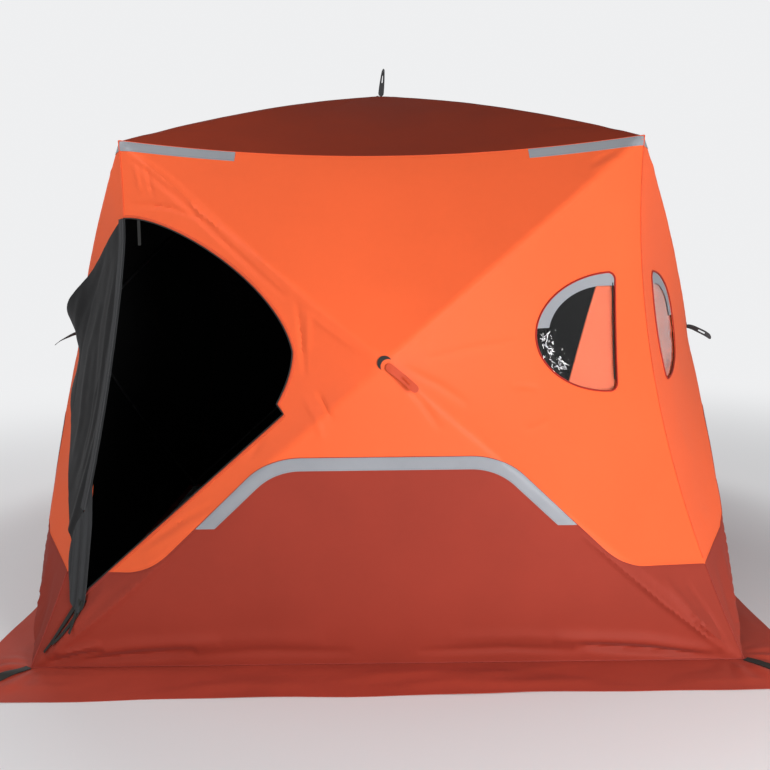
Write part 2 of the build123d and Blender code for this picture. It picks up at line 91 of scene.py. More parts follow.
# %% [markdown]
# A studio floor has no edge in view. One big pale disc fades with distance into the colour of
# the world behind it, but only for the camera, so it lights the cloth evenly and keeps the
# shadow near the hut. The key lamp stands low at the right, as the light in the photograph.

# %% Floor, world and lamps
FLOOR_HALF = 30.0
FLOOR_COLOR = (0.80, 0.80, 0.81, 1)
FLOOR_ROUGHNESS = 0.9
FLOOR_SHINE = 0.1
FLOOR_STEPS = ((1.75, 2.6, 0.42), (1.9, 7.0, 0.58))
BACKDROP_COLOR = (0.86, 0.865, 0.875, 1)
WORLD_COLOR = (0.93, 0.94, 0.96, 1)
WORLD_STRENGTH = 0.36


def select_only(obj):
    """Leaves just this object selected and active."""
    bpy.ops.object.select_all(action="DESELECT")
    obj.select_set(True)
    bpy.context.view_layer.objects.active = obj


def new_node(tree, kind, feeds=(), **settings):
    """A shader node with its settings, and inputs fed by values or by other outputs."""
    node = tree.nodes.new("ShaderNode" + kind)
    for name, value in settings.items():
        setattr(node, name, value)
    for socket, value in feeds:
        if isinstance(value, bpy.types.NodeSocket):
            tree.links.new(value, node.inputs[socket])
        else:
            node.inputs[socket].default_value = value
    return node


def math_node(tree, operation, *values):
    """The result of a sum on values or outputs."""
    return new_node(tree, "Math", enumerate(values), operation=operation).outputs[0]


def new_material(name):
    """A material with its node tree and its shader."""
    material = bpy.data.materials.new(name)
    material.use_nodes = True
    return material, material.node_tree, material.node_tree.nodes["Principled BSDF"]


bpy.ops.object.select_all(action="DESELECT")
bpy.ops.mesh.primitive_circle_add(vertices=64, radius=FLOOR_HALF, fill_type="NGON", location=(0, 0, 0))
floor = bpy.context.object
floor.name = "studio_floor"
floor_material, tree, shader = new_material("studio_floor")
shader.inputs["Base Color"].default_value = FLOOR_COLOR
shader.inputs["Roughness"].default_value = FLOOR_ROUGHNESS
shader.inputs["Specular IOR Level"].default_value = FLOOR_SHINE
place = new_node(tree, "TexCoord").outputs["Object"]
distance = new_node(tree, "VectorMath", [(0, place)], operation="LENGTH").outputs["Value"]
steps = []
for start, end, amount in FLOOR_STEPS:
    ends = [("Value", distance), ("From Min", start), ("From Max", end), ("To Max", amount)]
    steps.append(new_node(tree, "MapRange", ends, interpolation_type="SMOOTHERSTEP").outputs[0])
haze = math_node(tree, "ADD", *steps)
far_seen = math_node(tree, "MULTIPLY", haze, new_node(tree, "LightPath").outputs["Is Camera Ray"])
glow = new_node(tree, "Emission", [("Color", BACKDROP_COLOR)])
blend = new_node(tree, "MixShader", [(0, far_seen), (1, shader.outputs[0]), (2, glow.outputs[0])])
tree.links.new(blend.outputs[0], tree.nodes["Material Output"].inputs["Surface"])
floor.data.materials.append(floor_material)
floor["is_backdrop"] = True

world = bpy.data.worlds.new("studio")
bpy.context.scene.world = world
world.use_nodes = True
tree = world.node_tree
tree.nodes.clear()
rays = new_node(tree, "LightPath").outputs
lighting = new_node(tree, "Background", [("Color", WORLD_COLOR), ("Strength", WORLD_STRENGTH)])
backdrop = new_node(tree, "Background", [("Color", BACKDROP_COLOR)])
seen = math_node(tree, "MAXIMUM", rays["Is Camera Ray"], rays["Is Transmission Ray"])
choice = new_node(tree, "MixShader", [(0, seen), (1, lighting.outputs[0]), (2, backdrop.outputs[0])])
new_node(tree, "OutputWorld", [("Surface", choice.outputs[0])])


def softbox(name, place, aim, size, power):
    """A square area lamp that faces a point."""
    data = bpy.data.lights.new(name, "AREA")
    data.shape = "SQUARE"
    data.size = size
    data.energy = power
    lamp = bpy.data.objects.new(name, data)
    lamp.location = place
    lamp.rotation_euler = (Vector(aim) - Vector(place)).to_track_quat("-Z", "Y").to_euler()
    bpy.context.scene.collection.objects.link(lamp)


softbox("key_softbox", (2.3, -4.8, 1.0), (0.6, -1.1, 0.8), 1.6, 195)
softbox("fill_softbox", (-4.5, -4.4, 2.4), (-0.4, -0.8, 0.9), 3.0, 34)
softbox("top_left_softbox", (-2.2, -1.9, 3.1), (-0.6, -0.8, 1.6), 1.0, 28)
softbox("back_softbox", (-3.0, 6.0, 3.6), (0, 0.3, 1.0), 3.5, 140)
print("stage: floor, world and 4 softboxes")

# %% [markdown]
# The cloth follows the same few sizes as the frame: corners, hubs, bows and sags. They are in
# metres here. Across runs along a wall, out away from it and height up, as seen from outside.

# %% Sizes of the shell
BASE_HALF = 1.2
ROOF_HALF = 0.9
ROOF_CORNER = 1.76
WALL_HUB_REACH = 1.385
WALL_HUB_HEIGHT = 1.04
ROOF_HUB_HEIGHT = 2.065
CORNER_BOW = 0.095
ROOFLINE_SAG = 0.055
WALL_POLE_BOW = 0.018
ROOF_POLE_BOW = 0.026
PATCH_HALF = 0.022
PANEL_OVERRUN = 1.04
SKIRT_TOP = 0.003
FAR = 3.0

SIDES = {"front": 0, "right": 90, "back": 180, "left": 270}
WINDOW_SIGN = {"front": 1, "right": -1, "back": 1, "left": -1}


def bezier(controls, count=24):
    """Points along a Bezier curve."""
    share = np.linspace(0, 1, count)[:, None]
    rows = [np.repeat(np.array(c, float)[None], count, 0) for c in controls]
    while len(rows) > 1:
        rows = [a * (1 - share) + b * share for a, b in zip(rows, rows[1:])]
    return rows[0]


def bend_through(start, middle, end):
    """The control point of the quadratic curve from start to end that passes through middle."""
    return middle * 2 - (start + end) * 0.5


def panel_grid(inner, outer, outer_bend, ridge_bow, count=110):
    """Points on cloth pulled tight between two arched poles, a hub patch and one outer edge."""
    inner, outer = np.array(inner, float), np.array(outer, float)
    inner_mid = inner.mean(0)
    outer_mid = bend_through(outer[0], outer.mean(0) + outer_bend, outer[1])
    ridges = [bend_through(a, (a + b) * 0.5 + ridge_bow, b) for a, b in zip(inner, outer)]
    center = (inner_mid + outer_mid + ridges[0] + ridges[1]) * 0.5 - (inner.sum(0) + outer.sum(0)) * 0.25
    rows = [[inner[0], inner_mid, inner[1]], [ridges[0], center, ridges[1]],
            [outer[0], outer_mid, outer[1]]]
    along = np.linspace(0, PANEL_OVERRUN, count)
    across = np.linspace(0, 1, count)
    weights = lambda t: np.array([(1 - t) ** 2, 2 * t * (1 - t), t * t])
    return np.einsum("ia,jb,ijk->abk", weights(along), weights(across), np.array(rows))


def form_of(grids):
    """One smooth form that rays can be sent at, from grids of points."""
    points, faces = [], []
    for grid in grids:
        rows, columns = grid.shape[:2]
        first = len(points)
        points += grid.reshape(-1, 3).tolist()
        for i in range(rows - 1):
            for j in range(columns - 1):
                corner = first + i * columns + j
                faces.append((corner, corner + 1, corner + columns + 1, corner + columns))
    return BVHTree.FromPolygons(points, faces)


def square(half, front, low, high):
    """The corners of an upright rectangle that faces the front, counter-clockwise."""
    return np.array([[a * half, -front, h] for a, h in ((-1, low), (1, low), (1, high), (-1, high))], float)


def wall_grids():
    """The panels around the front wall's hub."""
    patch = square(PATCH_HALF, WALL_HUB_REACH, WALL_HUB_HEIGHT - PATCH_HALF, WALL_HUB_HEIGHT + PATCH_HALF)
    corners = np.vstack([square(BASE_HALF, BASE_HALF, 0, 0)[:2], square(ROOF_HALF, ROOF_HALF, 0, ROOF_CORNER)[2:]])
    bends = np.array([[0, 0, 0], [-CORNER_BOW, CORNER_BOW, 0],
                      [0, ROOFLINE_SAG, -ROOFLINE_SAG], [CORNER_BOW, CORNER_BOW, 0]])
    bow = np.array([0, -WALL_POLE_BOW, 0])
    grids = [panel_grid([patch[i], patch[i - 3]], [corners[i], corners[i - 3]], bends[i], bow) for i in range(4)]
    return [*grids, np.array([[patch[0], patch[1]], [patch[3], patch[2]]])]


def quarter_turn(quarter):
    """The matrix that turns points of the front by quarters round the hut."""
    c, s = round(cos(quarter * pi / 2)), round(sin(quarter * pi / 2))
    return np.array([[c, -s, 0], [s, c, 0], [0, 0, 1]])


def roof_grids():
    """The four panels around the roof's hub."""
    inner = square(PATCH_HALF, PATCH_HALF, ROOF_HUB_HEIGHT, 0)[:2]
    outer = square(ROOF_HALF, ROOF_HALF, ROOF_CORNER, 0)[:2]
    bow = np.array([0, 0, ROOF_POLE_BOW])
    grids = []
    for spin in map(quarter_turn, range(4)):
        bend = spin @ np.array([0, ROOFLINE_SAG, -ROOFLINE_SAG])
        grids.append(panel_grid(inner @ spin.T, outer @ spin.T, bend, bow))
    return [*grids, np.array([inner, inner * [1, -1, 1]])]


wall_form = form_of(wall_grids())
roof_form = form_of(roof_grids())
print("forms: wall and roof")

# %% [markdown]
# A form has sharp ridges where two panels meet, but cloth bends round a pole. Each height is
# the mean of a small ring of heights, so that a ridge gets a soft top and flat cloth stays.

# %% Reading the forms
RIDGE_SOFTNESS = 0.011
NUDGE = 0.9995


def raw_heights(form, flat, on_roof):
    """How far out of a wall, or up on the roof, the form lies over flat points; nan beside it."""
    found = np.full(len(flat), np.nan)
    for i, (a, b) in enumerate(flat.tolist()):
        start, ray = ((a, b, FAR), (0, 0, -1)) if on_roof else ((a, -FAR, b), (0, 1, 0))
        spot = form.ray_cast(Vector(start), Vector(ray))[0]
        if spot is not None:
            found[i] = spot.z if on_roof else -spot.y
    return found


def heights(form, flat, on_roof=False):
    """The form's heights with softened ridges."""
    middle = raw_heights(form, flat, on_roof)
    missing = np.isnan(middle)
    if missing.any():
        middle[missing] = raw_heights(form, flat[missing] * NUDGE, on_roof)
    middle = np.nan_to_num(middle, nan=float(np.nanmean(middle)))
    total = middle * 2
    for angle in (0.3, 0.3 + pi / 3, 0.3 + 2 * pi / 3):
        step = RIDGE_SOFTNESS * np.array([cos(angle), sin(angle)])
        pair = raw_heights(form, flat + step, on_roof) + raw_heights(form, flat - step, on_roof)
        total += np.where(np.isnan(pair), 2 * middle, pair)
    return total / 8


# %% [markdown]
# Flat patterns come first, as for a tailor. Every seam, opening and tape is a line across the
# wall. Straight runs with rounded corners make the seam, and short curves the door and window.

# %% Pattern lines
def unit(v):
    """The direction of a vector."""
    return v / np.linalg.norm(v)


def rounded(points, radii, steps=12):
    """A run of straight lines whose inner corners are arcs."""
    points = [np.array(p, float) for p in points]
    path = [points[0]]
    for before, corner, after, radius in zip(points, points[1:], points[2:], radii):
        a, b = unit(before - corner), unit(after - corner)
        half = acos(float(np.clip(a @ b, -1, 1))) / 2
        center = corner + unit(a + b) * radius / sin(half)
        first, last = (corner + way * radius / tan(half) - center for way in (a, b))
        sweep = pi - 2 * half
        for share in np.linspace(0, 1, steps):
            swung = first * sin((1 - share) * sweep) + last * sin(share * sweep)
            path.append(center + swung / sin(sweep))
    path.append(points[-1])
    return np.array(path)


def corner_across(height):
    """How far across a wall its curved corner edge lies at a height."""
    share = height / ROOF_CORNER
    return BASE_HALF + (ROOF_HALF - BASE_HALF) * share - 4 * CORNER_BOW * share * (1 - share)


def roofline(across):
    """The height of the sagging roofline."""
    share = (across / ROOF_HALF + 1) / 2
    return ROOF_CORNER - 4 * ROOFLINE_SAG * share * (1 - share)


def wall_outline():
    """The whole wall, counter-clockwise from its low left corner."""
    steps = np.linspace(SKIRT_TOP, ROOF_CORNER, 60)
    right = np.array([[corner_across(h), h] for h in steps])
    top = np.array([[a, roofline(a)] for a in np.linspace(ROOF_HALF, -ROOF_HALF, 60)[1:-1]])
    return np.vstack([right, top, right[::-1] * [-1, 1]])


SEAM_LOW = 0.300
SEAM_HIGH = 0.746
SEAM_HIGH_HALF = 0.360
SEAM_SLOPE = radians(44)
SEAM_LOW_RISE = 0.19
SEAM_LOW_RADIUS = 0.30
SEAM_HIGH_RADIUS = 0.24


def seam_line(lift=0.0):
    """The seam between the heavy lower cloth and the bright upper cloth, raised by lift."""
    slope, corner = tan(SEAM_SLOPE), corner_across(SEAM_LOW)
    high_half = SEAM_HIGH_HALF + lift * (1 / cos(SEAM_SLOPE) - 1) / slope
    low, high = SEAM_LOW + lift, SEAM_HIGH + lift
    bend = (high + slope * high_half - low - SEAM_LOW_RISE * corner) / (slope - SEAM_LOW_RISE)
    bend_height = high - slope * (bend - high_half)
    far_height = low - SEAM_LOW_RISE * (FAR - corner)
    points = [(-FAR, far_height), (-bend, bend_height), (-high_half, high),
              (high_half, high), (bend, bend_height), (FAR, far_height)]
    low_radius, high_radius = SEAM_LOW_RADIUS - lift, SEAM_HIGH_RADIUS + lift
    return rounded(points, [low_radius, high_radius, high_radius, low_radius])


def under_seam(lift=0.0):
    """A closed outline of all that lies below the seam."""
    return np.vstack([seam_line(lift), [(FAR, -FAR), (-FAR, -FAR)]])


HINGE_MARGIN = -0.002
HINGE_PULL = 0.019
PULL_FOOT = 0.46
PULL_HEIGHT = 0.96
PULL_REACH = 0.22
DOOR_TOP = 1.497
HINGE_BEND = 0.590
DOOR_SILL = (-1.022, 0.250)
DOOR_SIDE = (-0.288, 1.065)
DOOR_NOTCH = (-0.316, 0.876)


def door_free_edge(growth=0.0):
    """From the hinge's top over the arch, in at a notch and down the long slanting foot."""
    top, (side, side_height) = DOOR_TOP + growth, DOOR_SIDE
    arch = bezier([(HINGE_MARGIN - corner_across(DOOR_TOP), top), (-0.718, top + 0.005),
                   (-0.333 + growth, 1.280 + growth), (side + growth, side_height)], 48)
    waist = bezier([(side + growth, side_height), (side + growth, 0.995), (-0.340 + growth, 0.903)], 14)[1:]
    corner, sill = np.array(DOOR_NOTCH), np.array(DOOR_SILL)
    along = unit(sill - corner)
    square_off = np.array([-along[1], along[0]]) * growth
    return np.vstack([arch, waist, [corner + square_off, sill + square_off]])


def hinge_edge():
    """The hinge line from the sill up to the top of the door."""
    steps = np.linspace(HINGE_BEND, DOOR_TOP, 40)
    return np.vstack([[DOOR_SILL], [[HINGE_MARGIN - corner_across(h), h] for h in steps]])


def hinge_pull(height, away=0.0):
    """How far the flap's weight pulls the door's corner outward, at a height and away from it."""
    pull = HINGE_PULL * np.clip(np.sin(pi * (height - PULL_FOOT) / PULL_HEIGHT), 0, 1)
    return pull * np.clip(1 - away / PULL_REACH, 0, 1) ** 2


def door_outline():
    """The whole opening of the door."""
    return np.vstack([door_free_edge(), hinge_edge()[1:-1]])


WINDOW_STRAIGHT = 0.790
WINDOW_HEIGHT = 1.098
WINDOW_HALF = 0.197
WINDOW_DEPTH = 0.297
WINDOW_CORNER = 0.026


def window_outline(inset=0.0, sign=1):
    """The D of a window, drawn in by inset, right of the hub for sign 1 and left for -1."""
    straight, half, depth = WINDOW_STRAIGHT - inset, WINDOW_HALF - inset, WINDOW_DEPTH - 2 * inset
    r = min(WINDOW_CORNER, half / 2)
    start = acos(-r / depth)
    edge = half * sin(start)

    def arc(middle, reach, start, end, count):
        angles = np.linspace(start, end, count)
        return [(middle[0] + reach[0] * cos(a), middle[1] + reach[1] * sin(a)) for a in angles]

    arch = arc((straight, WINDOW_HEIGHT), (depth, half), start, 2 * pi - start, 60)
    turn_up = arc((straight - r, WINDOW_HEIGHT - edge + r), (r, r), -pi / 2, 0, 9)
    turn_over = arc((straight - r, WINDOW_HEIGHT + edge - r), (r, r), 0, pi / 2, 9)
    loop = np.array(arch + turn_up[1:] + turn_over[:-1])
    return loop * [sign, 1] if sign > 0 else (loop * [sign, 1])[::-1]


def inside(points, loop):
    """Which points lie inside a closed outline."""
    x, z = points[:, 0], points[:, 1]
    result = np.zeros(len(points), bool)
    for (x0, z0), (x1, z1) in zip(loop, np.roll(loop, -1, 0)):
        if z0 != z1:
            crosses = (z0 > z) != (z1 > z)
            result ^= crosses & (x < (x1 - x0) * (z - z0) / (z1 - z0) + x0)
    return result


print("patterns: seam", len(seam_line()), "door", len(door_outline()), "window", len(window_outline()), "points")

# %% [markdown]
# To cut cloth, a flat area is filled with small triangles that have an edge along every line.
# A grid with booleans would leave ragged slivers at the curves; a constrained triangulation
# keeps each outline exact, and its even triangles take the folds well.

# %% Cutting cloth
CUT_BORDER = 0.02
CLEAR_OF_LINES = 0.55
SHARP_ANGLE = radians(35)


def spaced(line, spacing, closed):
    """The line with points no further apart than spacing."""
    ends = np.roll(line, -1, 0) if closed else line[1:]
    path = []
    for a, b in zip(line, ends):
        count = max(1, int(np.ceil(np.linalg.norm(b - a) / spacing)))
        path += [a + (b - a) * k / count for k in range(count)]
    if not closed:
        path.append(line[-1])
    return np.array(path)


def everywhere(points):
    """Keeps all of a cloth."""
    return np.ones(len(points), bool)


def cut(area, keep, lines, spacing):
    """Triangles of the flat area in an outline, with edges along the lines, where keep is true."""
    low, high = area.min(0) - CUT_BORDER, area.max(0) + CUT_BORDER
    points, edges, near = [], [], []
    for line, closed in [(area, True), *lines]:
        path = spaced(line, spacing, closed)
        first = len(points)
        points += [tuple(p) for p in path]
        count = len(path)
        edges += [(first + i, first + (i + 1) % count) for i in range(count if closed else count - 1)]
        near += [tuple(p) for p in spaced(line, spacing / 3, closed)]
    tree = KDTree(len(near))
    for i, (a, b) in enumerate(near):
        tree.insert((a, b, 0), i)
    tree.balance()
    row_height = spacing * sin(pi / 3)
    grid = []
    for row, b in enumerate(np.arange(low[1], high[1], row_height)):
        grid += [(a + spacing * 0.5 * (row % 2), b) for a in np.arange(low[0], high[0], spacing)]
    grid = np.array(grid)
    grid = grid[inside(grid, area)]
    points += [(a, b) for a, b in grid.tolist() if tree.find((a, b, 0))[2] > CLEAR_OF_LINES * spacing]
    made, _, faces, *_ = delaunay_2d_cdt([Vector(p) for p in points], edges, [], 0, 1e-6)
    flat = np.array([tuple(v) for v in made])
    faces = np.array([f for f in faces if len(f) == 3])
    centers = flat[faces].mean(1)
    faces = faces[inside(centers, area) & keep(centers)]
    used, renumbered = np.unique(faces, return_inverse=True)
    return flat[used], renumbered.reshape(-1, 3)


def thicken(piece, thickness, **settings):
    """Gives cloth its thickness, inward from the outer side."""
    select_only(piece)
    body = piece.modifiers.new("thickness", "SOLIDIFY")
    body.thickness = thickness
    body.offset = -1
    for name, value in settings.items():
        setattr(body, name, value)
    bpy.ops.object.modifier_apply(modifier=body.name)


def cloth_piece(name, flat, faces, places, materials, thickness=0.0, flipped=False, inner_rim=False):
    """A mesh from flat cloth laid at places, with an inner side where a thickness is given."""
    faces = faces[:, ::-1] if flipped else faces
    mesh = bpy.data.meshes.new(name)
    mesh.from_pydata(places.tolist(), [], faces.tolist())
    threads = mesh.uv_layers.new(name="weave")
    corners = np.zeros(len(mesh.loops), int)
    mesh.loops.foreach_get("vertex_index", corners)
    threads.data.foreach_set("uv", flat[corners].astype(np.float32).ravel())
    for material in materials:
        mesh.materials.append(material)
    piece = bpy.data.objects.new(name, mesh)
    bpy.context.scene.collection.objects.link(piece)
    select_only(piece)
    if thickness:
        inner = len(materials) - 1
        thicken(piece, thickness, material_offset=inner, material_offset_rim=inner if inner_rim else 0)
    bpy.ops.object.shade_smooth_by_angle(angle=SHARP_ANGLE)
    return piece


# %% [markdown]
# Coated polyester has a fine square weave, a soft sheen and small uneven patches of dirt and
# light. The weave follows each piece's own UV map, so that it isn't stretched on the side
# walls. The patches are a shared group, and so is the weave.

# %% Shared groups
def new_group(name, inputs, outputs):
    """An empty node group with named inputs, given as defaults, and outputs."""
    group = bpy.data.node_groups.new(name, "ShaderNodeTree")
    for label, kind, value in inputs:
        socket = group.interface.new_socket(label, in_out="INPUT", socket_type=kind)
        if value is not None:
            socket.default_value = value
    for label, kind in outputs:
        group.interface.new_socket(label, in_out="OUTPUT", socket_type=kind)
    return group, group.nodes.new("NodeGroupInput"), group.nodes.new("NodeGroupOutput")


WEAVE = new_group(
    "woven_threads",
    [("Threads", "NodeSocketVector", None), ("Per Metre", "NodeSocketFloat", 500.0)],
    [("Height", "NodeSocketFloat"), ("Shade", "NodeSocketFloat")],
)
group, entry, exit_node = WEAVE
threads = entry.outputs["Threads"]
parts = new_node(group, "SeparateXYZ", [(0, threads)]).outputs
waves = []
for axis in ("X", "Y"):
    phase = math_node(group, "MULTIPLY", parts[axis], entry.outputs["Per Metre"])
    waves.append(math_node(group, "SINE", math_node(group, "MULTIPLY", phase, 2 * pi)))
crossing = math_node(group, "MULTIPLY", *waves)
slubs = new_node(group, "TexNoise", [("Vector", threads), ("Scale", 38.0), ("Detail", 3.0)])
group.links.new(math_node(group, "MULTIPLY_ADD", crossing, 0.5, 0.5), exit_node.inputs["Height"])
group.links.new(slubs.outputs["Fac"], exit_node.inputs["Shade"])

PATCHES = new_group(
    "uneven_patches",
    [("Place", "NodeSocketVector", None), ("Scale", "NodeSocketFloat", 3.0)],
    [("Mask", "NodeSocketFloat")],
)
group, entry, exit_node = PATCHES
clouds = new_node(group, "TexNoise", [("Vector", entry.outputs["Place"]), ("Scale", entry.outputs["Scale"]),
                                      ("Detail", 5.0), ("Roughness", 0.6)])
spread = new_node(group, "MapRange", [("Value", clouds.outputs["Fac"]), ("From Min", 0.35), ("From Max", 0.68)])
group.links.new(spread.outputs[0], exit_node.inputs["Mask"])

CREASES = new_group(
    "fine_creases",
    [("Place", "NodeSocketVector", None), ("Scale", "NodeSocketFloat", 5.0), ("Spread", "NodeSocketFloat", 0.5)],
    [("Height", "NodeSocketFloat")],
)
group, entry, exit_node = CREASES
place = entry.outputs["Place"]
swirl = new_node(group, "TexNoise", [("Vector", place), ("Scale", 2.2)])
bent = new_node(group, "VectorMath", [(0, swirl.outputs["Color"]), (1, (0.5, 0.5, 0.5)), (2, place)],
                operation="MULTIPLY_ADD")
lines = new_node(group, "TexNoise", [("Vector", bent.outputs[0]), ("Scale", entry.outputs["Scale"]),
                                     ("Detail", 2.0), ("Roughness", 0.45)], noise_type="RIDGED_MULTIFRACTAL")
where = new_node(group, "TexNoise", [("Vector", place), ("Scale", 3.1), ("Detail", 2.0)])
gate = new_node(group, "MapRange", [("Value", where.outputs["Fac"]), ("From Min", 0.44), ("From Max", 0.62)])
gated = math_node(group, "MULTIPLY", lines.outputs["Fac"], gate.outputs[0])
group.links.new(math_node(group, "MULTIPLY", gated, entry.outputs["Spread"]), exit_node.inputs["Height"])
print("groups:", [g.name for g in bpy.data.node_groups])


# %% [markdown]
# Cloth and plastic are two recipes. Each takes a colour and mixes it with darker patches, and a
# bump map gives it its threads or its grain. Only uniform values stand on the shader itself.

# %% Materials
BUMP_DEPTH = 0.0004
CREASE_DEPTH = 0.006
TINT_SHARE = 0.4


def use_group(tree, made, **feeds):
    """A use of a shared group, with its inputs fed."""
    node = new_node(tree, "Group", node_tree=made[0])
    for name, value in feeds.items():
        socket = node.inputs[name.replace("_", " ")]
        if isinstance(value, bpy.types.NodeSocket):
            tree.links.new(value, socket)
        else:
            socket.default_value = value
    return node.outputs


def mixed(tree, mask, a, b):
    """A colour between a and b by a mask."""
    return new_node(tree, "Mix", data_type="RGBA", feeds=[("Factor", mask), (6, a), (7, b)]).outputs[2]


def shaded(color, factor):
    """The colour made darker or lighter."""
    return tuple(min(1.0, c * factor) for c in color[:3]) + (1,)


def bumped(tree, height, strength, depth=BUMP_DEPTH, under=None):
    """A normal with a bump, on top of another bump if there is one."""
    feeds = [("Strength", strength), ("Distance", depth), ("Height", height)]
    return new_node(tree, "Bump", feeds + ([("Normal", under)] if under else [])).outputs["Normal"]


def woven(name, color, dark=0.86, roughness=0.62, sheen=0.03, per_metre=420.0, relief=0.25, uv=True, shine=0.22,
          creased=0.0, crease_scale=4.0):
    """A woven, coated cloth."""
    material, tree, shader = new_material(name)
    place = new_node(tree, "TexCoord").outputs["Object"]
    threads = new_node(tree, "UVMap", uv_map="weave").outputs["UV"] if uv else place
    weave = use_group(tree, WEAVE, Per_Metre=per_metre, Threads=threads)
    patches = use_group(tree, PATCHES, Place=place)
    base = mixed(tree, patches["Mask"], shaded(color, dark), shaded(color, 1.0))
    tinted = mixed(tree, weave["Shade"], base, shaded(color, 1.06))
    creases = None
    if creased:
        lines = use_group(tree, CREASES, Scale=crease_scale, Place=place)
        creases = bumped(tree, lines["Height"], creased, CREASE_DEPTH)
    rough = math_node(tree, "MULTIPLY_ADD", patches["Mask"], 0.08, roughness - 0.04)
    for socket, output in (("Base Color", mixed(tree, TINT_SHARE, base, tinted)), ("Roughness", rough),
                           ("Normal", bumped(tree, weave["Height"], relief, under=creases))):
        tree.links.new(output, shader.inputs[socket])
    shader.inputs["Sheen Weight"].default_value = sheen
    shader.inputs["Sheen Roughness"].default_value = 0.4
    shader.inputs["Specular IOR Level"].default_value = shine
    return material


def moulded(name, color, roughness=0.45, grain=260.0, relief=0.3, metallic=0.0):
    """Moulded plastic, rod or enamelled metal with a fine grain."""
    material, tree, shader = new_material(name)
    place = new_node(tree, "TexCoord").outputs["Object"]
    mask = use_group(tree, PATCHES, Scale=14.0, Place=place)["Mask"]
    fine = new_node(tree, "TexNoise", [("Scale", grain), ("Vector", place)])
    for socket, output in (("Base Color", mixed(tree, mask, shaded(color, 0.75), shaded(color, 1.15))),
                           ("Roughness", math_node(tree, "MULTIPLY_ADD", mask, 0.15, roughness - 0.05)),
                           ("Normal", bumped(tree, fine.outputs["Fac"], relief))):
        tree.links.new(output, shader.inputs[socket])
    shader.inputs["Metallic"].default_value = metallic
    return material


ORANGE = woven("orange_cloth", (0.800, 0.112, 0.030), dark=0.94, roughness=0.60, creased=0.35)
ORANGE_SEAM = woven("orange_seam", (0.66, 0.085, 0.026), dark=0.90, uv=False)
BRICK = woven("brick_cloth", (0.285, 0.036, 0.021), dark=0.88, roughness=0.66, shine=0.14, creased=0.35)
BRICK_SEAM = woven("brick_seam", (0.27, 0.032, 0.021), dark=0.88, roughness=0.64, uv=False)
# The roof's colour is its own brick red cloth darkened as painted shade, for a top that lies in shade under the
# low front light.
ROOF_SHADED = woven("roof_cloth", (0.235, 0.030, 0.012), dark=0.82, roughness=0.72, shine=0.08, sheen=0.0,
             creased=0.3)
SKIRT = woven("skirt_cloth", (0.43, 0.056, 0.032), dark=0.84, roughness=0.68, shine=0.12, creased=0.5)
LINING = woven("black_lining", (0.004, 0.004, 0.0045), dark=0.8, roughness=0.85, sheen=0.0)
FLAP = woven("flap_lining", (0.0085, 0.0085, 0.0092), dark=0.80, roughness=0.55, creased=0.6,
             crease_scale=7.0)
# The hem's grey is partly painted highlight: lighter than the black flap where the hinge's fold catches the light.
HEM_WITH_HIGHLIGHT = woven("grey_hem_painted_highlight", (0.030, 0.031, 0.033), dark=0.75, roughness=0.55, sheen=0.05, uv=False)
TAPE = woven("reflective_tape", (0.27, 0.282, 0.305), roughness=0.45, sheen=0.0, per_metre=300.0)
# The cover's coral is the shell's orange cloth made lighter and paler as painted light, for the cloth lit behind
# the film.
COVER_LIT = woven("cover_cloth", (0.90, 0.185, 0.085), dark=0.93, uv=False)
PIPING = woven("red_piping", (0.34, 0.018, 0.010), dark=0.8, roughness=0.6, uv=False)
WEBBING = woven("black_webbing", (0.022, 0.022, 0.021), dark=0.75, roughness=0.7, per_metre=260.0,
                relief=0.6, uv=False)
GREY_THREAD = woven("grey_thread", (0.20, 0.205, 0.22), dark=0.8, roughness=0.6, uv=False)
STRAP = woven("strap_webbing", (0.026, 0.027, 0.024), dark=0.75, roughness=0.72, per_metre=230.0, relief=0.8)
LOOP = woven("loop_cloth", (0.56, 0.070, 0.028), dark=0.85, roughness=0.6)
DARK_LOOP = woven("dark_loop_cloth", (0.042, 0.042, 0.045), dark=0.8, roughness=0.6)
PLASTIC = moulded("black_nylon", (0.020, 0.020, 0.021))
ROD = moulded("fibreglass_rod", (0.030, 0.030, 0.032), roughness=0.3, grain=500.0, relief=0.15)
ZIP_METAL = moulded("zip_enamel", (0.035, 0.035, 0.035), roughness=0.35, metallic=0.6)

FILM, tree, shader = new_material("window_film")
shader.inputs["Base Color"].default_value = (0.93, 0.94, 0.95, 1)
shader.inputs["Transmission Weight"].default_value = 1.0
shader.inputs["IOR"].default_value = 1.33
place = new_node(tree, "TexCoord").outputs["Object"]
smudges = new_node(tree, "TexNoise", [("Scale", 9.0), ("Vector", place)])
tree.links.new(math_node(tree, "MULTIPLY_ADD", smudges.outputs["Fac"], 0.04, 0.01), shader.inputs["Roughness"])
# Pale glossy slivers on the front vinyl are painted glare: white marks that stand in for highlights on the
# crinkled film.
VINYL_GLARE = moulded("painted_glare_vinyl", (0.84, 0.85, 0.88), roughness=0.25, grain=120.0, relief=0.6)
print("materials:", len(bpy.data.materials))

# %% [markdown]
# Cloth pulled between poles isn't smooth. It creases from the hubs and corners, puckers along
# the hems, and gathers into deep folds where four panels meet at the base. A fold here is a
# short line across the wall with a width and a depth, and the cloth rises or sinks along it.
# The folds are listed and not simulated; they follow the ones that such a shelter shows.

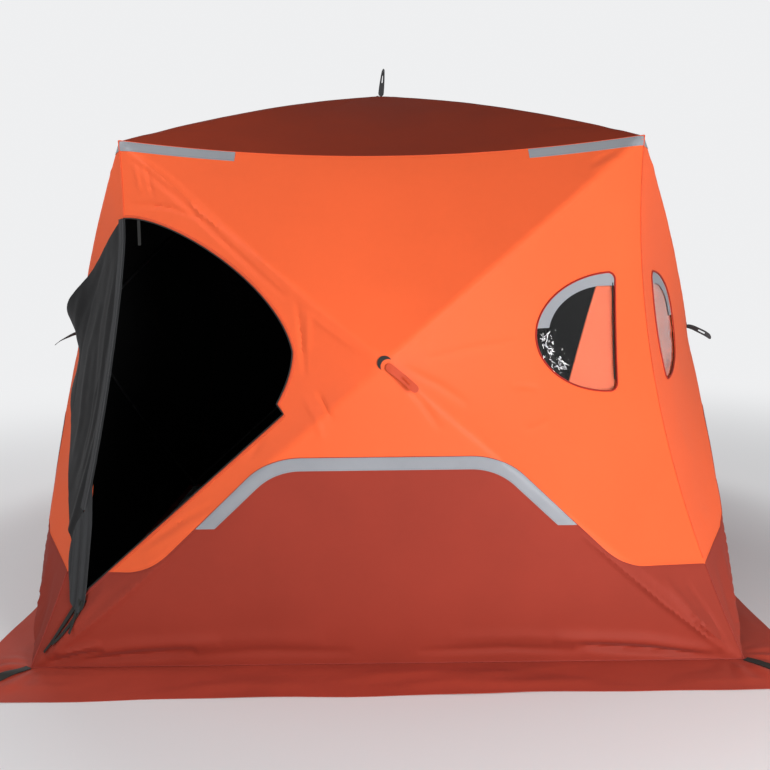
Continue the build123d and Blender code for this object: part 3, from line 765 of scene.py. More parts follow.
# %% Folds
def fold(flat, path, width, depth):
    """Rises by depth along a path, faded at its ends and sides."""
    path = np.array(path, float)
    lengths = np.linalg.norm(np.diff(path, axis=0), axis=1)
    best, share, done = np.full(len(flat), FAR), np.zeros(len(flat)), 0.0
    for a, b, length in zip(path, path[1:], lengths):
        along = np.clip((flat - a) @ (b - a) / length**2, 0, 1)
        away = np.linalg.norm(flat - (a + along[:, None] * (b - a)), axis=1)
        share = np.where(away < best, (done + along * length) / lengths.sum(), share)
        best = np.minimum(away, best)
        done += length
    taper = np.clip(4 * share * (1 - share), 0, 1) ** 0.5
    return depth * taper * np.exp(-((best / width) ** 2))


def ripples(flat, scale, seed):
    """Soft uneven waves between -1 and 1."""
    return np.array([noise.noise(Vector((a * scale, b * scale, seed))) for a, b in flat.tolist()])


FOLD_GAIN = 2.0
FOLD_WIDTH = 0.8
EDGE_FADE = 0.035
MIRRORED_SHARE = 0.9
PUCKERED_SIDES = 0.79
SIDE_SEED = {"front": 1.7, "right": 11.3, "back": 23.1, "left": 37.9}

# Folds of every wall, on its right half: path, width, depth
SHARED_FOLDS = [
    ([(0.62, 0.478), (0.90, 0.225), (1.15, 0.02)], 0.010, 0.0045),
    ([(0.76, 0.385), (0.95, 0.21), (1.145, 0.02)], 0.014, -0.005),
    ([(0.80, 0.33), (0.98, 0.175), (1.14, 0.02)], 0.012, 0.004),
    ([(0.91, 0.30), (1.03, 0.16), (1.135, 0.04)], 0.013, 0.005),
    ([(1.00, 0.27), (1.09, 0.14), (1.15, 0.03)], 0.010, -0.004),
    ([(0.63, 0.066), (0.90, 0.040), (1.13, 0.006)], 0.020, -0.011),
    ([(0.55, 0.100), (0.85, 0.085), (1.10, 0.035)], 0.028, 0.007),
    ([(0.10, 0.050), (0.40, 0.058), (0.66, 0.045)], 0.016, -0.004),
    ([(0.20, 0.100), (0.45, 0.105), (0.70, 0.085)], 0.030, 0.003),
    ([(0.705, 1.655), (0.76, 1.69), (0.81, 1.71)], 0.008, -0.0025),
    ([(0.69, 1.63), (0.75, 1.66), (0.80, 1.68)], 0.008, 0.002),
    ([(0.05, 1.03), (0.16, 0.97), (0.26, 0.90)], 0.012, 0.002),
    ([(0.04, 1.00), (0.11, 0.92), (0.17, 0.83)], 0.012, -0.002),
    ([(0.12, 1.045), (0.28, 1.072), (0.44, 1.088)], 0.010, 0.0018),
]
FRONT_FOLDS = [
    ([(-0.862, 1.732), (-0.728, 1.637), (-0.383, 1.345)], 0.009, -0.0035),
    ([(-0.86, 1.70), (-0.70, 1.575), (-0.42, 1.33), (-0.30, 1.225)], 0.011, -0.004),
    ([(-0.797, 1.68), (-0.785, 1.62), (-0.770, 1.56)], 0.007, -0.003),
    ([(-0.843, 1.68), (-0.832, 1.63), (-0.820, 1.58)], 0.007, 0.0025),
    ([(-0.87, 1.54), (-0.78, 1.537), (-0.70, 1.524), (-0.60, 1.486)], 0.006, -0.0035),
    ([(-0.70, 1.590), (-0.65, 1.545), (-0.605, 1.50)], 0.008, -0.003),
    ([(-0.60, 1.49), (-0.50, 1.425), (-0.40, 1.345), (-0.30, 1.26)], 0.008, -0.002),
    ([(-0.269, 1.22), (-0.256, 1.10), (-0.247, 0.99)], 0.007, -0.0035),
    ([(-0.238, 1.19), (-0.234, 1.13), (-0.237, 1.06)], 0.006, 0.0025),
    ([(-0.23, 1.18), (-0.16, 1.13), (-0.07, 1.07)], 0.009, 0.002),
    ([(-0.206, 0.951), (-0.185, 0.91), (-0.160, 0.865)], 0.009, -0.003),
    ([(-0.25, 0.93), (-0.21, 0.87), (-0.19, 0.80)], 0.012, 0.002),
    ([(-0.38, 0.791), (-0.40, 0.77), (-0.43, 0.735)], 0.008, -0.0025),
    ([(-0.78, 0.440), (-0.65, 0.528), (-0.53, 0.600)], 0.008, -0.0035),
    ([(-0.80, 0.405), (-0.70, 0.47), (-0.60, 0.545)], 0.010, 0.0025),
    ([(0.40, 0.945), (0.45, 0.94), (0.50, 0.928)], 0.010, -0.0018),
    ([(0.44, 0.808), (0.48, 0.812), (0.53, 0.828)], 0.010, 0.0018),
    ([(-1.135, 0.018), (-1.05, 0.045), (-0.94, 0.070)], 0.012, -0.009),
    ([(-1.10, 0.058), (-1.03, 0.078), (-0.95, 0.098)], 0.012, 0.006),
]


def wall_folds(side, flat):
    """How far the cloth of a wall rises from its form."""
    seed = SIDE_SEED[side]
    rise = 0.0022 * ripples(flat, 2.3, seed) + 0.0008 * ripples(flat, 9.0, seed + 5)
    slant = np.abs(flat[:, 0]) / 0.95 - np.abs(flat[:, 1] - WALL_HUB_HEIGHT) / 0.75
    ridge = np.clip(1 - np.abs(slant) * 5, 0, 1)
    rise += 0.0007 * ridge * ripples(flat, 30.0, seed + 9)
    mirrored = flat * [-1, 1]
    shift = 0.003 * (seed % 3)
    for path, width, depth in SHARED_FOLDS:
        path = np.array(path)
        rise += fold(flat, path, width * FOLD_WIDTH, depth * FOLD_GAIN)
        if side != "front" or path[0][1] <= PUCKERED_SIDES:
            rise += fold(mirrored, path + [shift, 0], width, depth * MIRRORED_SHARE * FOLD_GAIN)
    if side == "front":
        for path, width, depth in FRONT_FOLDS:
            rise += fold(flat, path, width * FOLD_WIDTH, depth * FOLD_GAIN)
    edge = np.minimum(corner_across(flat[:, 1]) - np.abs(flat[:, 0]), roofline(flat[:, 0]) - flat[:, 1])
    edge = np.minimum(edge, flat[:, 1] - SKIRT_TOP)
    return rise * np.clip(edge / EDGE_FADE, 0, 1)


def turned(points, side):
    """Points of the front wall on another side."""
    angle = radians(SIDES[side])
    spin = np.array([[cos(angle), -sin(angle), 0], [sin(angle), cos(angle), 0], [0, 0, 1]])
    return np.array(points) @ spin.T


def on_wall(side, flat, out=0.0, rise=None):
    """Places on a wall for flat points, lifted off the cloth by out."""
    rise = wall_folds(side, flat) if rise is None else rise
    reach = heights(wall_form, flat) + rise + out
    if side == "left":
        reach = reach + hinge_pull(flat[:, 1], corner_across(flat[:, 1]) - flat[:, 0])
    return turned(np.column_stack([flat[:, 0], -reach, flat[:, 1]]), side)


RIDGES = [(np.array([(sign * PATCH_HALF, WALL_HUB_HEIGHT + way * PATCH_HALF), (sign * far, height)]), False)
          for sign in (-1, 1) for way, far, height in ((-1, BASE_HALF, 0.0), (1, ROOF_HALF, ROOF_CORNER))]
print("folds:", len(SHARED_FOLDS), "on each half wall and", len(FRONT_FOLDS), "in front")

# %% [markdown]
# Each wall is two cloths: bright orange above, and a heavier brick red cloth below, which rises
# in the middle. They are cut from the same wall along the seam, so they meet without a gap.
# The inner side of both is black, as the lining is.

# %% Walls
CLOTH = 0.0012
FINE_SPACING = 0.010
CLOTH_SPACING = 0.016


def finish_piece(piece, slot, *replaced):
    """Puts a piece on the body, in place of its nodes; its slot is not used."""
    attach(piece, "root")
    if replaced:
        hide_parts(*replaced)
    print(piece.name, len(piece.data.polygons), "faces")
    return piece


WALL = wall_outline()
SEAM = under_seam()
DOOR = door_outline()
WALL_CLOTHS = (("upper", ORANGE, "orange_shell_cloth", (2.2, 1.6)),
               ("lower", BRICK, "brick_shell_cloth", (2.5, 0.85)))


def wall_cloth(side, upper):
    """One of the two cloths of a wall, as (flat, faces)."""
    window = window_outline(0, WINDOW_SIGN[side])

    def keep(p):
        kept = (inside(p, SEAM) != upper) & ~inside(p, window)
        return kept & ~inside(p, DOOR) if side == "front" else kept

    lines = [(seam_line(), False), *RIDGES]
    if upper:
        lines.append((window, True))
    if side == "front":
        lines.append((DOOR, True))
    return cut(WALL, keep, lines, FINE_SPACING if side == "front" else CLOTH_SPACING)


for side in SIDES:
    for level, cloth, slot_name, size in WALL_CLOTHS:
        flat, faces = wall_cloth(side, level == "upper")
        places = on_wall(side, flat)
        piece = cloth_piece(f"{side}_{level}_cloth", flat, faces, places, [cloth, LINING], CLOTH)
        finish_piece(piece, slot_name, f"{side}_wall_{level}")

# %% [markdown]
# The roof is one cloth over its own hub. Its edge is the sagging roofline that it shares with
# the walls. Soft creases run out from the hub and from the four corners.

# %% Roof
ROOF_FOLDS = [
    ([(0.05, -0.05), (0.20, -0.13), (0.34, -0.16)], 0.012, 0.002),
    ([(-0.04, -0.05), (-0.15, -0.22), (-0.20, -0.38)], 0.012, -0.002),
    ([(0.84, -0.83), (0.72, -0.76), (0.60, -0.72)], 0.010, -0.003),
    ([(-0.84, -0.83), (-0.73, -0.75), (-0.58, -0.70)], 0.010, -0.003),
    ([(-0.85, -0.84), (-0.80, -0.70), (-0.77, -0.55)], 0.010, 0.003),
    ([(0.85, 0.84), (0.80, 0.70), (0.77, 0.55)], 0.010, 0.003),
    ([(-0.84, 0.83), (-0.73, 0.75), (-0.58, 0.70)], 0.010, -0.003),
    ([(0.05, 0.06), (0.10, 0.24), (0.20, 0.40)], 0.012, 0.002),
]


def roofline_places(across, inward=0.0):
    """Places along the front roofline."""
    return np.array([[a, -ROOF_HALF + (ROOF_CORNER - roofline(a)) + inward, roofline(a)] for a in across])


def on_roof(flat):
    """Places on the roof over flat points."""
    rise = 0.002 * ripples(flat, 2.1, 51.0) + 0.0008 * ripples(flat, 8.0, 55.0)
    for path, width, depth in ROOF_FOLDS:
        rise += fold(flat, path, width, depth)
    sag = ROOFLINE_SAG * (1 - (flat / ROOF_HALF) ** 2)
    edge = (ROOF_HALF - sag[:, ::-1] - np.abs(flat)).min(1)
    rise *= np.clip(edge / EDGE_FADE, 0, 1)
    return np.column_stack([flat, heights(roof_form, flat, True) + rise])


roof_side = roofline_places(np.linspace(-ROOF_HALF, ROOF_HALF, 70)[:-1])
roof_edge = np.vstack([(roof_side @ quarter_turn(quarter).T)[:, :2] for quarter in range(4)])
roof_ridges = [(np.array([(PATCH_HALF * a, PATCH_HALF * b), (ROOF_HALF * a, ROOF_HALF * b)]), False)
               for a in (-1, 1) for b in (-1, 1)]
flat, faces = cut(roof_edge, everywhere, roof_ridges, CLOTH_SPACING)
places = on_roof(flat)
roof_cloth = cloth_piece("roof_cloth", flat, faces, places, [ROOF_SHADED, LINING], CLOTH)
finish_piece(roof_cloth, "roof_cloth", "roof_canopy")

# %% [markdown]
# Tapes and hems are strips sewn on the cloth, so they are cut from the same flat wall and lie
# a millimetre off it, over the same folds. Strips of several walls are one piece of trim.

# %% Trim on the cloth
TRIM = 0.0010
TRIM_OUT = 0.0013


def strips(name, jobs, materials, thickness, slot_name, *replaced, inner_rim=False):
    """One piece of trim from several (flat, faces, places) strips."""
    firsts = np.cumsum([0] + [len(flat) for flat, _, _ in jobs])
    flat, places = np.vstack([job[0] for job in jobs]), np.vstack([job[2] for job in jobs])
    faces = np.vstack([job[1] + first for job, first in zip(jobs, firsts)])
    piece = cloth_piece(name, flat, faces, places, materials, thickness, inner_rim=inner_rim)
    return finish_piece(piece, slot_name, *replaced)


def beside(path, width):
    """The outline of a band of a width, or of widths, along a path."""
    heading = np.gradient(path, axis=0)
    square_off = np.column_stack([-heading[:, 1], heading[:, 0]]) / np.linalg.norm(heading, axis=1)[:, None]
    return np.vstack([path + square_off * width / 2, (path - square_off * width / 2)[::-1]])


def ribbon(path, start_width, end_width, spacing=0.0045):
    """A flat ribbon along a path that may narrow, as (flat, faces)."""
    outline = beside(path, np.linspace(start_width, end_width, len(path))[:, None])[::-1]
    return cut(outline, everywhere, [], spacing)


def corner_tape_area(p):
    """The strips along the roofline at both top corners."""
    return (np.abs(p[:, 0]) > CORNER_TAPE_END) & (p[:, 1] > roofline(p[:, 0]) - CORNER_TAPE_WIDTH)


def near(line, reach):
    """The part of a dense line whose points lie within reach of the middle of the wall."""
    line = spaced(line, 0.02, False)
    return line[np.abs(line[:, 0]) < reach]


SEAM_TAPE_WIDTH = 0.043
SEAM_TAPE_END = 0.512
CORNER_TAPE_LENGTH = 0.392
CORNER_TAPE_WIDTH = 0.034
CORNER_TAPE_END = ROOF_HALF - CORNER_TAPE_LENGTH
TAPE_SPACING = 0.011

below_tape = under_seam(-SEAM_TAPE_WIDTH)
tape_lines = [(near(seam_line(), 0.9), False), (near(seam_line(-SEAM_TAPE_WIDTH), 0.9), False), *RIDGES,
              (np.array([(-0.7, SEAM_TAPE_END), (0.7, SEAM_TAPE_END)]), False)]
tape_box = np.array([(-0.72, 0.46), (0.72, 0.46), (0.72, 0.77), (-0.72, 0.77)])
in_tape = lambda p: inside(p, SEAM) & ~inside(p, below_tape) & (p[:, 1] > SEAM_TAPE_END)
under_roofline = np.array([[a, roofline(a) - CORNER_TAPE_WIDTH] for a in np.linspace(-1, 1, 60)])
band_ends = [(np.array([(s * CORNER_TAPE_END, 1.5), (s * CORNER_TAPE_END, 1.8)]), False) for s in (-1, 1)]
for name, area, keep, lines in (("seam_tapes", tape_box, in_tape, tape_lines),
                                ("corner_tapes", WALL, corner_tape_area,
                                 [(under_roofline, False), *band_ends, *RIDGES])):
    flat, faces = cut(area, keep, lines, TAPE_SPACING)
    strips(name + "_sewn", [(flat, faces, on_wall(side, flat, TRIM_OUT)) for side in SIDES], [TAPE], TRIM,
           "reflective_tape", name)

# %% [markdown]
# Two cloths never just touch: their edges are folded together and sewn, which leaves a thin
# round ridge along each seam. It runs down the corners, round the roofline and along the seam
# between the cloths, and it hides the raw edges.

# %% Seams
SEAM_RADIUS = 0.0021
CORNER_OUT = 0.0006


def tube(name, runs, radius, material):
    """Round piping along runs of points, each with whether it closes."""
    curve = bpy.data.curves.new(name, "CURVE")
    curve.dimensions = "3D"
    curve.bevel_depth = radius
    curve.bevel_resolution = 2
    curve.use_fill_caps = True
    for path, closed in runs:
        spline = curve.splines.new("POLY")
        spline.points.add(len(path) - 1)
        spline.points.foreach_set("co", np.column_stack([path, np.ones(len(path))]).ravel())
        spline.use_cyclic_u = closed
    piece = bpy.data.objects.new(name, curve)
    bpy.context.scene.collection.objects.link(piece)
    select_only(piece)
    bpy.ops.object.convert(target="MESH")
    piece = bpy.context.object
    piece.data.materials.clear()
    piece.data.materials.append(material)
    bpy.ops.object.shade_smooth()
    return piece


def kept_runs(path, kept):
    """The unbroken runs of a path's kept points."""
    runs, run = [], []
    for point, good in zip(path, kept):
        if good:
            run.append(point)
        elif run:
            runs.append(np.array(run))
            run = []
    if run:
        runs.append(np.array(run))
    return [run for run in runs if len(run) > 2]


def seam_runs(side):
    """The runs of the seam between the cloths that lie on this wall, beside the door."""
    path = spaced(seam_line(), 0.012, False)
    kept = inside(path, WALL)
    if side == "front":
        kept &= ~inside(path, DOOR)
    return kept_runs(path, kept)


def corner_runs(low, high, sides=tuple(SIDES)):
    """The corner edges from a low to a high end, on some sides."""
    run = [p for p in corner_edge if low <= p[2] <= high]
    return [(turned(run, side), False) for side in sides]


def on_sides(path):
    """A path of the front on all four sides."""
    return [(turned(path, side), False) for side in SIDES]


corner_edge = [[corner_across(h) + CORNER_OUT, -CORNER_OUT - corner_across(h), h]
               for h in np.linspace(SKIRT_TOP, ROOF_CORNER, 90)]
upper_corners = [*corner_runs(SEAM_LOW, FAR, ("front", "right", "back")),
                 *corner_runs(SEAM_LOW, HINGE_BEND - 0.02, ("left",)), *corner_runs(DOOR_TOP, FAR, ("left",))]
roofline_path = roofline_places(np.linspace(-ROOF_HALF, ROOF_HALF, 110), 0.001)
cloth_runs = [(on_wall(side, run, 0.0002), False) for side in SIDES for run in seam_runs(side)]
base_path = [[a, -BASE_HALF - 0.001, SKIRT_TOP + 0.002] for a in np.linspace(-BASE_HALF, BASE_HALF, 60)]
for name, runs, radius, material, slot_name in (
        ("corner_seams_upper", upper_corners, SEAM_RADIUS, ORANGE_SEAM, "orange_shell_cloth"),
        ("corner_seams_lower", corner_runs(0, SEAM_LOW), SEAM_RADIUS, BRICK_SEAM, "brick_shell_cloth"),
        ("roofline_seams", on_sides(roofline_path), SEAM_RADIUS, ORANGE_SEAM, "orange_shell_cloth"),
        ("cloth_seams", cloth_runs, 0.0014, BRICK_SEAM, "brick_shell_cloth"),
        ("base_seams", on_sides(base_path), 0.0022, BRICK_SEAM, "brick_shell_cloth")):
    finish_piece(tube(name, runs, radius, material), slot_name)

# %% [markdown]
# A window is a D of clear vinyl behind a hole with red piping. A reflective band follows its
# arch inside the hole. Inside hangs a cloth cover: in front it is half open and shows a
# slanting fold, and on the other three walls it is shut, so the hut is dark inside.

# %% Windows
FILM_OUT = -0.0043
COVER_OUT = -0.0125
BAND_WIDTH = 0.044
BAND_LOW_END = 1.120
COVER_FOLD = np.array([(0.591, 0.887), (0.746, 1.309)])
FILM_LAP = 0.006
COVER_LAP = 0.018
SHUT_COVER_OUT = -0.0078
SIDE_CRINKLES = 0.2


def crinkles(flat, sign):
    """Stiff small creases in the vinyl, strongest low on the arch."""
    x, z = flat[:, 0] * sign, flat[:, 1]
    worst = np.exp(-(((x - 0.545) / 0.065) ** 2 + ((z - 1.02) / 0.105) ** 2))
    slanted = np.column_stack([x * 1.5 + z * 0.6, z * 0.75 - x * 0.3])
    sharp = np.clip(1 - 2 * np.abs(ripples(slanted, 30.0, 3.3)), 0, 1)
    fine = np.abs(ripples(slanted, 66.0, 8.1))
    return 0.0012 * ripples(flat, 9.0, 2.2) - worst * (0.0062 * sharp**2 + 0.0034 * fine)


def band_area(sign):
    """The reflective band along the arch of the hole."""
    outer, inner = window_outline(0.0006, sign), window_outline(BAND_WIDTH, sign)
    low_side = WINDOW_HEIGHT + WINDOW_HALF - BAND_WIDTH
    side_line = WINDOW_STRAIGHT - BAND_WIDTH - WINDOW_CORNER

    def keep(p):
        kept = inside(p, outer) & ~inside(p, inner) & (p[:, 1] > BAND_LOW_END)
        return kept & ~((p[:, 0] * sign > side_line) & (p[:, 1] < low_side))

    level_cuts = [(np.array([(sign * start, height), (sign * 0.85, height)]), False)
                  for start, height in ((0.4, BAND_LOW_END), (side_line, low_side))]
    return outer, keep, [(inner, True), *level_cuts]


piping_runs, band_jobs, zip_runs, cover_jobs = [], [], [], []
for side in SIDES:
    sign = WINDOW_SIGN[side]
    edge = window_outline(-0.0025, sign)
    piping_runs.append((on_wall(side, spaced(edge, 0.008, True), 0.0014), True))
    outer, keep, cuts = band_area(sign)
    flat, faces = cut(outer, keep, cuts, 0.010)
    band_jobs.append((flat, faces, on_wall(side, flat, -0.0014)))
    reach = WINDOW_HALF - WINDOW_CORNER - 0.008
    straight = np.array([[sign * (WINDOW_STRAIGHT - 0.007), WINDOW_HEIGHT + end * reach] for end in (-1, 1)])
    zip_runs.append((on_wall(side, spaced(straight, 0.02, False), -0.002), False))

    lapped = window_outline(-FILM_LAP, sign)
    film_spacing, crinkle_share = (0.0042, 1.0) if side == "front" else (0.0085, SIDE_CRINKLES)
    flat, faces = cut(lapped, everywhere, [], film_spacing)
    vinyl = on_wall(side, flat, FILM_OUT, wall_folds(side, flat) + crinkle_share * crinkles(flat, sign))
    piece = cloth_piece(f"{side}_window_vinyl", flat, faces, vinyl, [FILM], 0.0005)
    finish_piece(piece, "window_film", f"{side}_window_film")

    keep, cover_lines, cover_out = everywhere, [], SHUT_COVER_OUT
    if side == "front":
        corner_side = np.vstack([COVER_FOLD[0], (0.95, COVER_FOLD[0, 1]), (0.95, COVER_FOLD[1, 1]), COVER_FOLD[1]])
        keep, cover_lines, cover_out = (lambda p: inside(p, corner_side)), [(COVER_FOLD, False)], COVER_OUT
    flat, faces = cut(window_outline(-COVER_LAP, sign), keep, cover_lines, 0.010)
    slack = 0.004 * ripples(flat, 6.0, 4.4 + SIDE_SEED[side])
    cover_jobs.append((flat, faces, on_wall(side, flat, cover_out, wall_folds(side, flat) - np.abs(slack))))

roll = spaced(np.array([(0.606, 0.925), (0.735, 1.285)]), 0.012, False)
fold_runs = [(on_wall("front", roll, COVER_OUT - 0.001), False)]

# Pale slivers low on the front window's arch, where the vinyl crinkles most, are painted glare for the film's
# highlights.
glare_rng = np.random.default_rng(4)
arch_middle = np.array([WINDOW_STRAIGHT, WINDOW_HEIGHT])
glare_jobs = []
for count in range(46):
    around = radians(glare_rng.uniform(176, 226))
    deep = glare_rng.uniform(0.010, 0.046)
    center = arch_middle + (np.array([WINDOW_DEPTH, WINDOW_HALF]) - deep) * [cos(around), sin(around)]
    lean = around + radians(glare_rng.uniform(35, 150))
    half = glare_rng.uniform(0.003, 0.013) * np.array([cos(lean), sin(lean)])
    bow = glare_rng.uniform(-0.5, 0.5) * np.array([-half[1], half[0]])
    width = glare_rng.uniform(0.0009, 0.0032)
    flat, faces = ribbon(bezier([center - half, center + bow, center + half], 7), width, width * 0.25, 0.0024)
    if inside(flat, window_outline(0.006)).all():
        spots = on_wall("front", flat, FILM_OUT + 0.0012, wall_folds("front", flat) + crinkles(flat, 1))
        glare_jobs.append((flat, faces, spots))
strips("window_vinyl_painted_glare", glare_jobs, [VINYL_GLARE], 0.0003, "window_film")
finish_piece(tube("window_piping", piping_runs, 0.0030, PIPING), "piping", "window_bindings")
strips("window_bands", band_jobs, [TAPE], 0.0008, "reflective_tape", "window_header_bands")
finish_piece(tube("window_zips", zip_runs, 0.0022, WEBBING), "black_webbing")
finish_piece(tube("cover_folds", fold_runs, 0.0035, COVER_LIT), "cover_cloth")
covers = strips("window_covers_hung", cover_jobs, [COVER_LIT, LINING], 0.0010, "cover_cloth", "window_covers",
                inner_rim=True)

# %% [markdown]
# The door is open: its flap is folded round the corner onto the left wall and hangs there with
# its black lining out. It sags from the top of the hinge, so its free edge runs lower than the
# arch that it was cut from, bulges out beside the hub and ends in a tail at the corner's foot.
# Nothing is simulated here: each fold of the flap has a known place, so it is laid one by one.

# %% Door flap
FLAP_CLOTH = 0.0016
FLAP_HEM_GAP = 0.006
FLAP_OUT = 0.005
FLAP_FOLD_GAIN = 0.75
HINGE_FADE = 0.06

flap_hinge = np.array([[FLAP_HEM_GAP - corner_across(h), h] for h in np.linspace(0.370, 1.500, 50)])
FLAP_CURVES = [
    ([tuple(flap_hinge[-1]), (-0.82, 1.462), (-0.66, 1.375), (-0.50, 1.281)], 14),
    ([(-0.50, 1.281), (-0.43, 1.235), (-0.37, 1.19), (-0.33, 1.15)], 8),
    ([(-0.33, 1.15), (-0.285, 1.10), (-0.255, 1.06), (-0.27, 1.00)], 8),
    ([(-0.27, 1.00), (-0.29, 0.92), (-0.36, 0.87), (-0.43, 0.80)], 12),
    ([(-0.43, 0.80), (-0.50, 0.73), (-0.58, 0.68), (-0.66, 0.63)], 10),
    ([(-0.66, 0.63), (-0.79, 0.54), (-0.93, 0.46), tuple(flap_hinge[0])], 14),
]
flap_outline = np.vstack([flap_hinge, *(bezier(controls, count)[1:] for controls, count in FLAP_CURVES)])[:-1]

# How far the flap hangs off the wall at some places
FLAP_LIFTS = [
    (-0.88, 1.48, 0.004), (-0.75, 1.417, 0.012), (-0.50, 1.281, 0.045), (-0.33, 1.15, 0.086), (-0.27, 1.02, 0.010),
    (-0.36, 0.88, 0.016), (-0.50, 0.73, 0.010), (-0.66, 0.63, 0.008), (-0.85, 0.52, 0.010), (-1.04, 0.43, 0.008),
    (-0.92, 1.20, 0.006), (-0.94, 0.90, 0.007), (-1.00, 0.60, 0.008), (-0.50, 0.95, 0.030),
    (-0.62, 1.00, 0.026), (-0.70, 0.75, 0.012), (-0.78, 1.15, 0.022), (-0.45, 1.12, 0.050), (-0.80, 0.85, 0.012),
]
FLAP_FOLDS = [
    ([(-0.88, 1.46), (-0.84, 1.15), (-0.86, 0.80), (-0.97, 0.42)], 0.014, 0.006),
    ([(-0.80, 1.38), (-0.72, 1.12), (-0.77, 0.85), (-0.88, 0.50)], 0.026, -0.008),
    ([(-0.70, 1.20), (-0.63, 1.02), (-0.66, 0.84), (-0.74, 0.62)], 0.030, 0.012),
    ([(-0.74, 1.39), (-0.56, 1.20), (-0.47, 1.00), (-0.52, 0.76)], 0.013, -0.006),
    ([(-0.84, 0.98), (-0.80, 0.84), (-0.84, 0.66)], 0.012, 0.006),
    ([(-0.93, 1.05), (-0.93, 0.80), (-0.98, 0.50), (-1.03, 0.26)], 0.016, 0.010),
    ([(-0.90, 1.30), (-0.87, 1.00), (-0.90, 0.70), (-0.97, 0.40)], 0.012, -0.005),
    ([(-0.50, 1.25), (-0.42, 1.10), (-0.37, 1.00)], 0.022, 0.010),
    ([(-0.70, 1.36), (-0.55, 1.22), (-0.42, 1.08)], 0.016, -0.006),
]


def smooth_through(flat, spots, reach=0.24):
    """A smooth field that takes the given values at the given places."""
    spots = np.array(spots)
    bell = lambda a, b: np.exp(-((a[:, None] - b[None]) ** 2).sum(2) / reach**2)
    firmness = 0.01 * np.eye(len(spots))
    return bell(flat, spots[:, :2]) @ np.linalg.solve(bell(spots[:, :2], spots[:, :2]) + firmness, spots[:, 2])


flap_flat, flap_faces = cut(flap_outline, everywhere, [], 0.010)
hinge_away = corner_across(flap_flat[:, 1]) + flap_flat[:, 0]
flap_rise = smooth_through(flap_flat, FLAP_LIFTS)
flap_rise += 0.003 * ripples(flap_flat, 5.0, 77.0) + 0.0012 * ripples(flap_flat, 22.0, 71.0)
for path, width, depth in FLAP_FOLDS:
    flap_rise += fold(flap_flat, path, width, depth * FLAP_FOLD_GAIN)
flap_rise = FLAP_OUT + np.maximum(flap_rise, 0.001) * np.clip(hinge_away / HINGE_FADE, 0, 1)
flap_rise += hinge_pull(flap_flat[:, 1], hinge_away)
flap_places = np.column_stack([-(heights(wall_form, flap_flat) + flap_rise), flap_flat])
flap = cloth_piece("door_flap_cloth", flap_flat, flap_faces, flap_places, [FLAP, ORANGE], FLAP_CLOTH, flipped=True)
finish_piece(flap, "lining_cloth", "door_flap")

# %% [markdown]
# The hinge is a broad hem round the corner. Its grey is partly painted highlight, lighter than the
# black flap where the fold catches the light beside the black opening. The hem goes on below the sewn
# part, down to the sill, as the loose edge of the flap.

# %% Hinge hem
HEM_REACH = 0.030
HEM_LAP = 0.007
HEM_OUT = 0.0052
SIDE_HEM_OUT = 0.0100
CORD_OUT = 0.0045
HEM_FOOT = (-1.062, 0.225)
HEM_FOLD_END = 0.500

corner_rise = np.linspace(HEM_FOLD_END, DOOR_TOP, 50)
hem_outer = np.array([[-corner_across(h), h] for h in corner_rise])
tail_left = bezier([hem_outer[0], (-1.090, 0.455), (-1.118, 0.355), HEM_FOOT], 14)
tail_right = bezier([HEM_FOOT, (-1.030, 0.185), (-0.998, 0.195), (-0.999, 0.262)], 10)
hem_area = np.vstack([hem_outer[::-1], tail_left[1:], tail_right[1:], hinge_edge()[1:] + [HEM_LAP, 0]])
hem_flat, hem_faces = cut(hem_area, everywhere, [], 0.007)
hem_wave = 0.0014 * ripples(hem_flat, 14.0, 31.0) + 0.0006 * ripples(hem_flat, 45.0, 35.0)
low_share = np.clip((HEM_FOLD_END + 0.10 - hem_flat[:, 1]) / 0.25, 0, 1)
hem_wave += low_share * (0.006 + 0.005 * np.sin((hem_flat[:, 0] + 0.05 * hem_flat[:, 1]) * 190.0))
front_hem = np.column_stack([hem_flat[:, 0] - hinge_pull(hem_flat[:, 1]),
                             -(heights(wall_form, hem_flat) + HEM_OUT + hem_wave), hem_flat[:, 1]])
side_outline = np.vstack([hem_outer[::-1], hem_outer + [HEM_REACH, 0]])
side_flat, side_faces = cut(side_outline, everywhere, [], 0.008)
side_reach = heights(wall_form, side_flat) + SIDE_HEM_OUT + hinge_pull(side_flat[:, 1])
side_reach += 0.0012 * ripples(side_flat, 14.0, 33.0)
side_hem = np.column_stack([-side_reach, side_flat[:, 0], side_flat[:, 1]])
strips("door_hem_sewn", [(hem_flat, hem_faces, front_hem), (side_flat, side_faces[:, ::-1], side_hem)],
       [HEM_WITH_HIGHLIGHT], 0.0016, "hem_tape", "door_hinge_hem")
# The grey cord along the corner carries the same painted highlight on the fold's lit edge.
hem_cord = [[-corner_across(h) - CORD_OUT - hinge_pull(h), -corner_across(h) - CORD_OUT, h] for h in corner_rise]
finish_piece(tube("door_hem_edge", [(np.array(hem_cord), False)], 0.0060, HEM_WITH_HIGHLIGHT), "hem_tape")

# %% [markdown]
# The zip's tape has the colour of the cloth that it is sewn to, and only its teeth show as a
# fine dark line round the opening. Its tail runs on from the sill to the foot of the corner.

# %% Zip
ZIP_WIDTH = 0.012
zip_area = np.vstack([door_free_edge(0.0004), door_free_edge(ZIP_WIDTH)[::-1]])
zip_flat, zip_faces = cut(zip_area[::-1], everywhere, [(seam_line(), False)], 0.008)
zip_upper = ~inside(zip_flat[zip_faces].mean(1), SEAM)
zip_places = on_wall("front", zip_flat, TRIM_OUT)
piece = cloth_piece("door_zip_tape", zip_flat, zip_faces, zip_places, [ORANGE_SEAM, BRICK_SEAM])
for polygon, upper in zip(piece.data.polygons, zip_upper):
    polygon.material_index = 0 if upper else 1
thicken(piece, TRIM)
finish_piece(piece, "black_webbing", "door_zip")

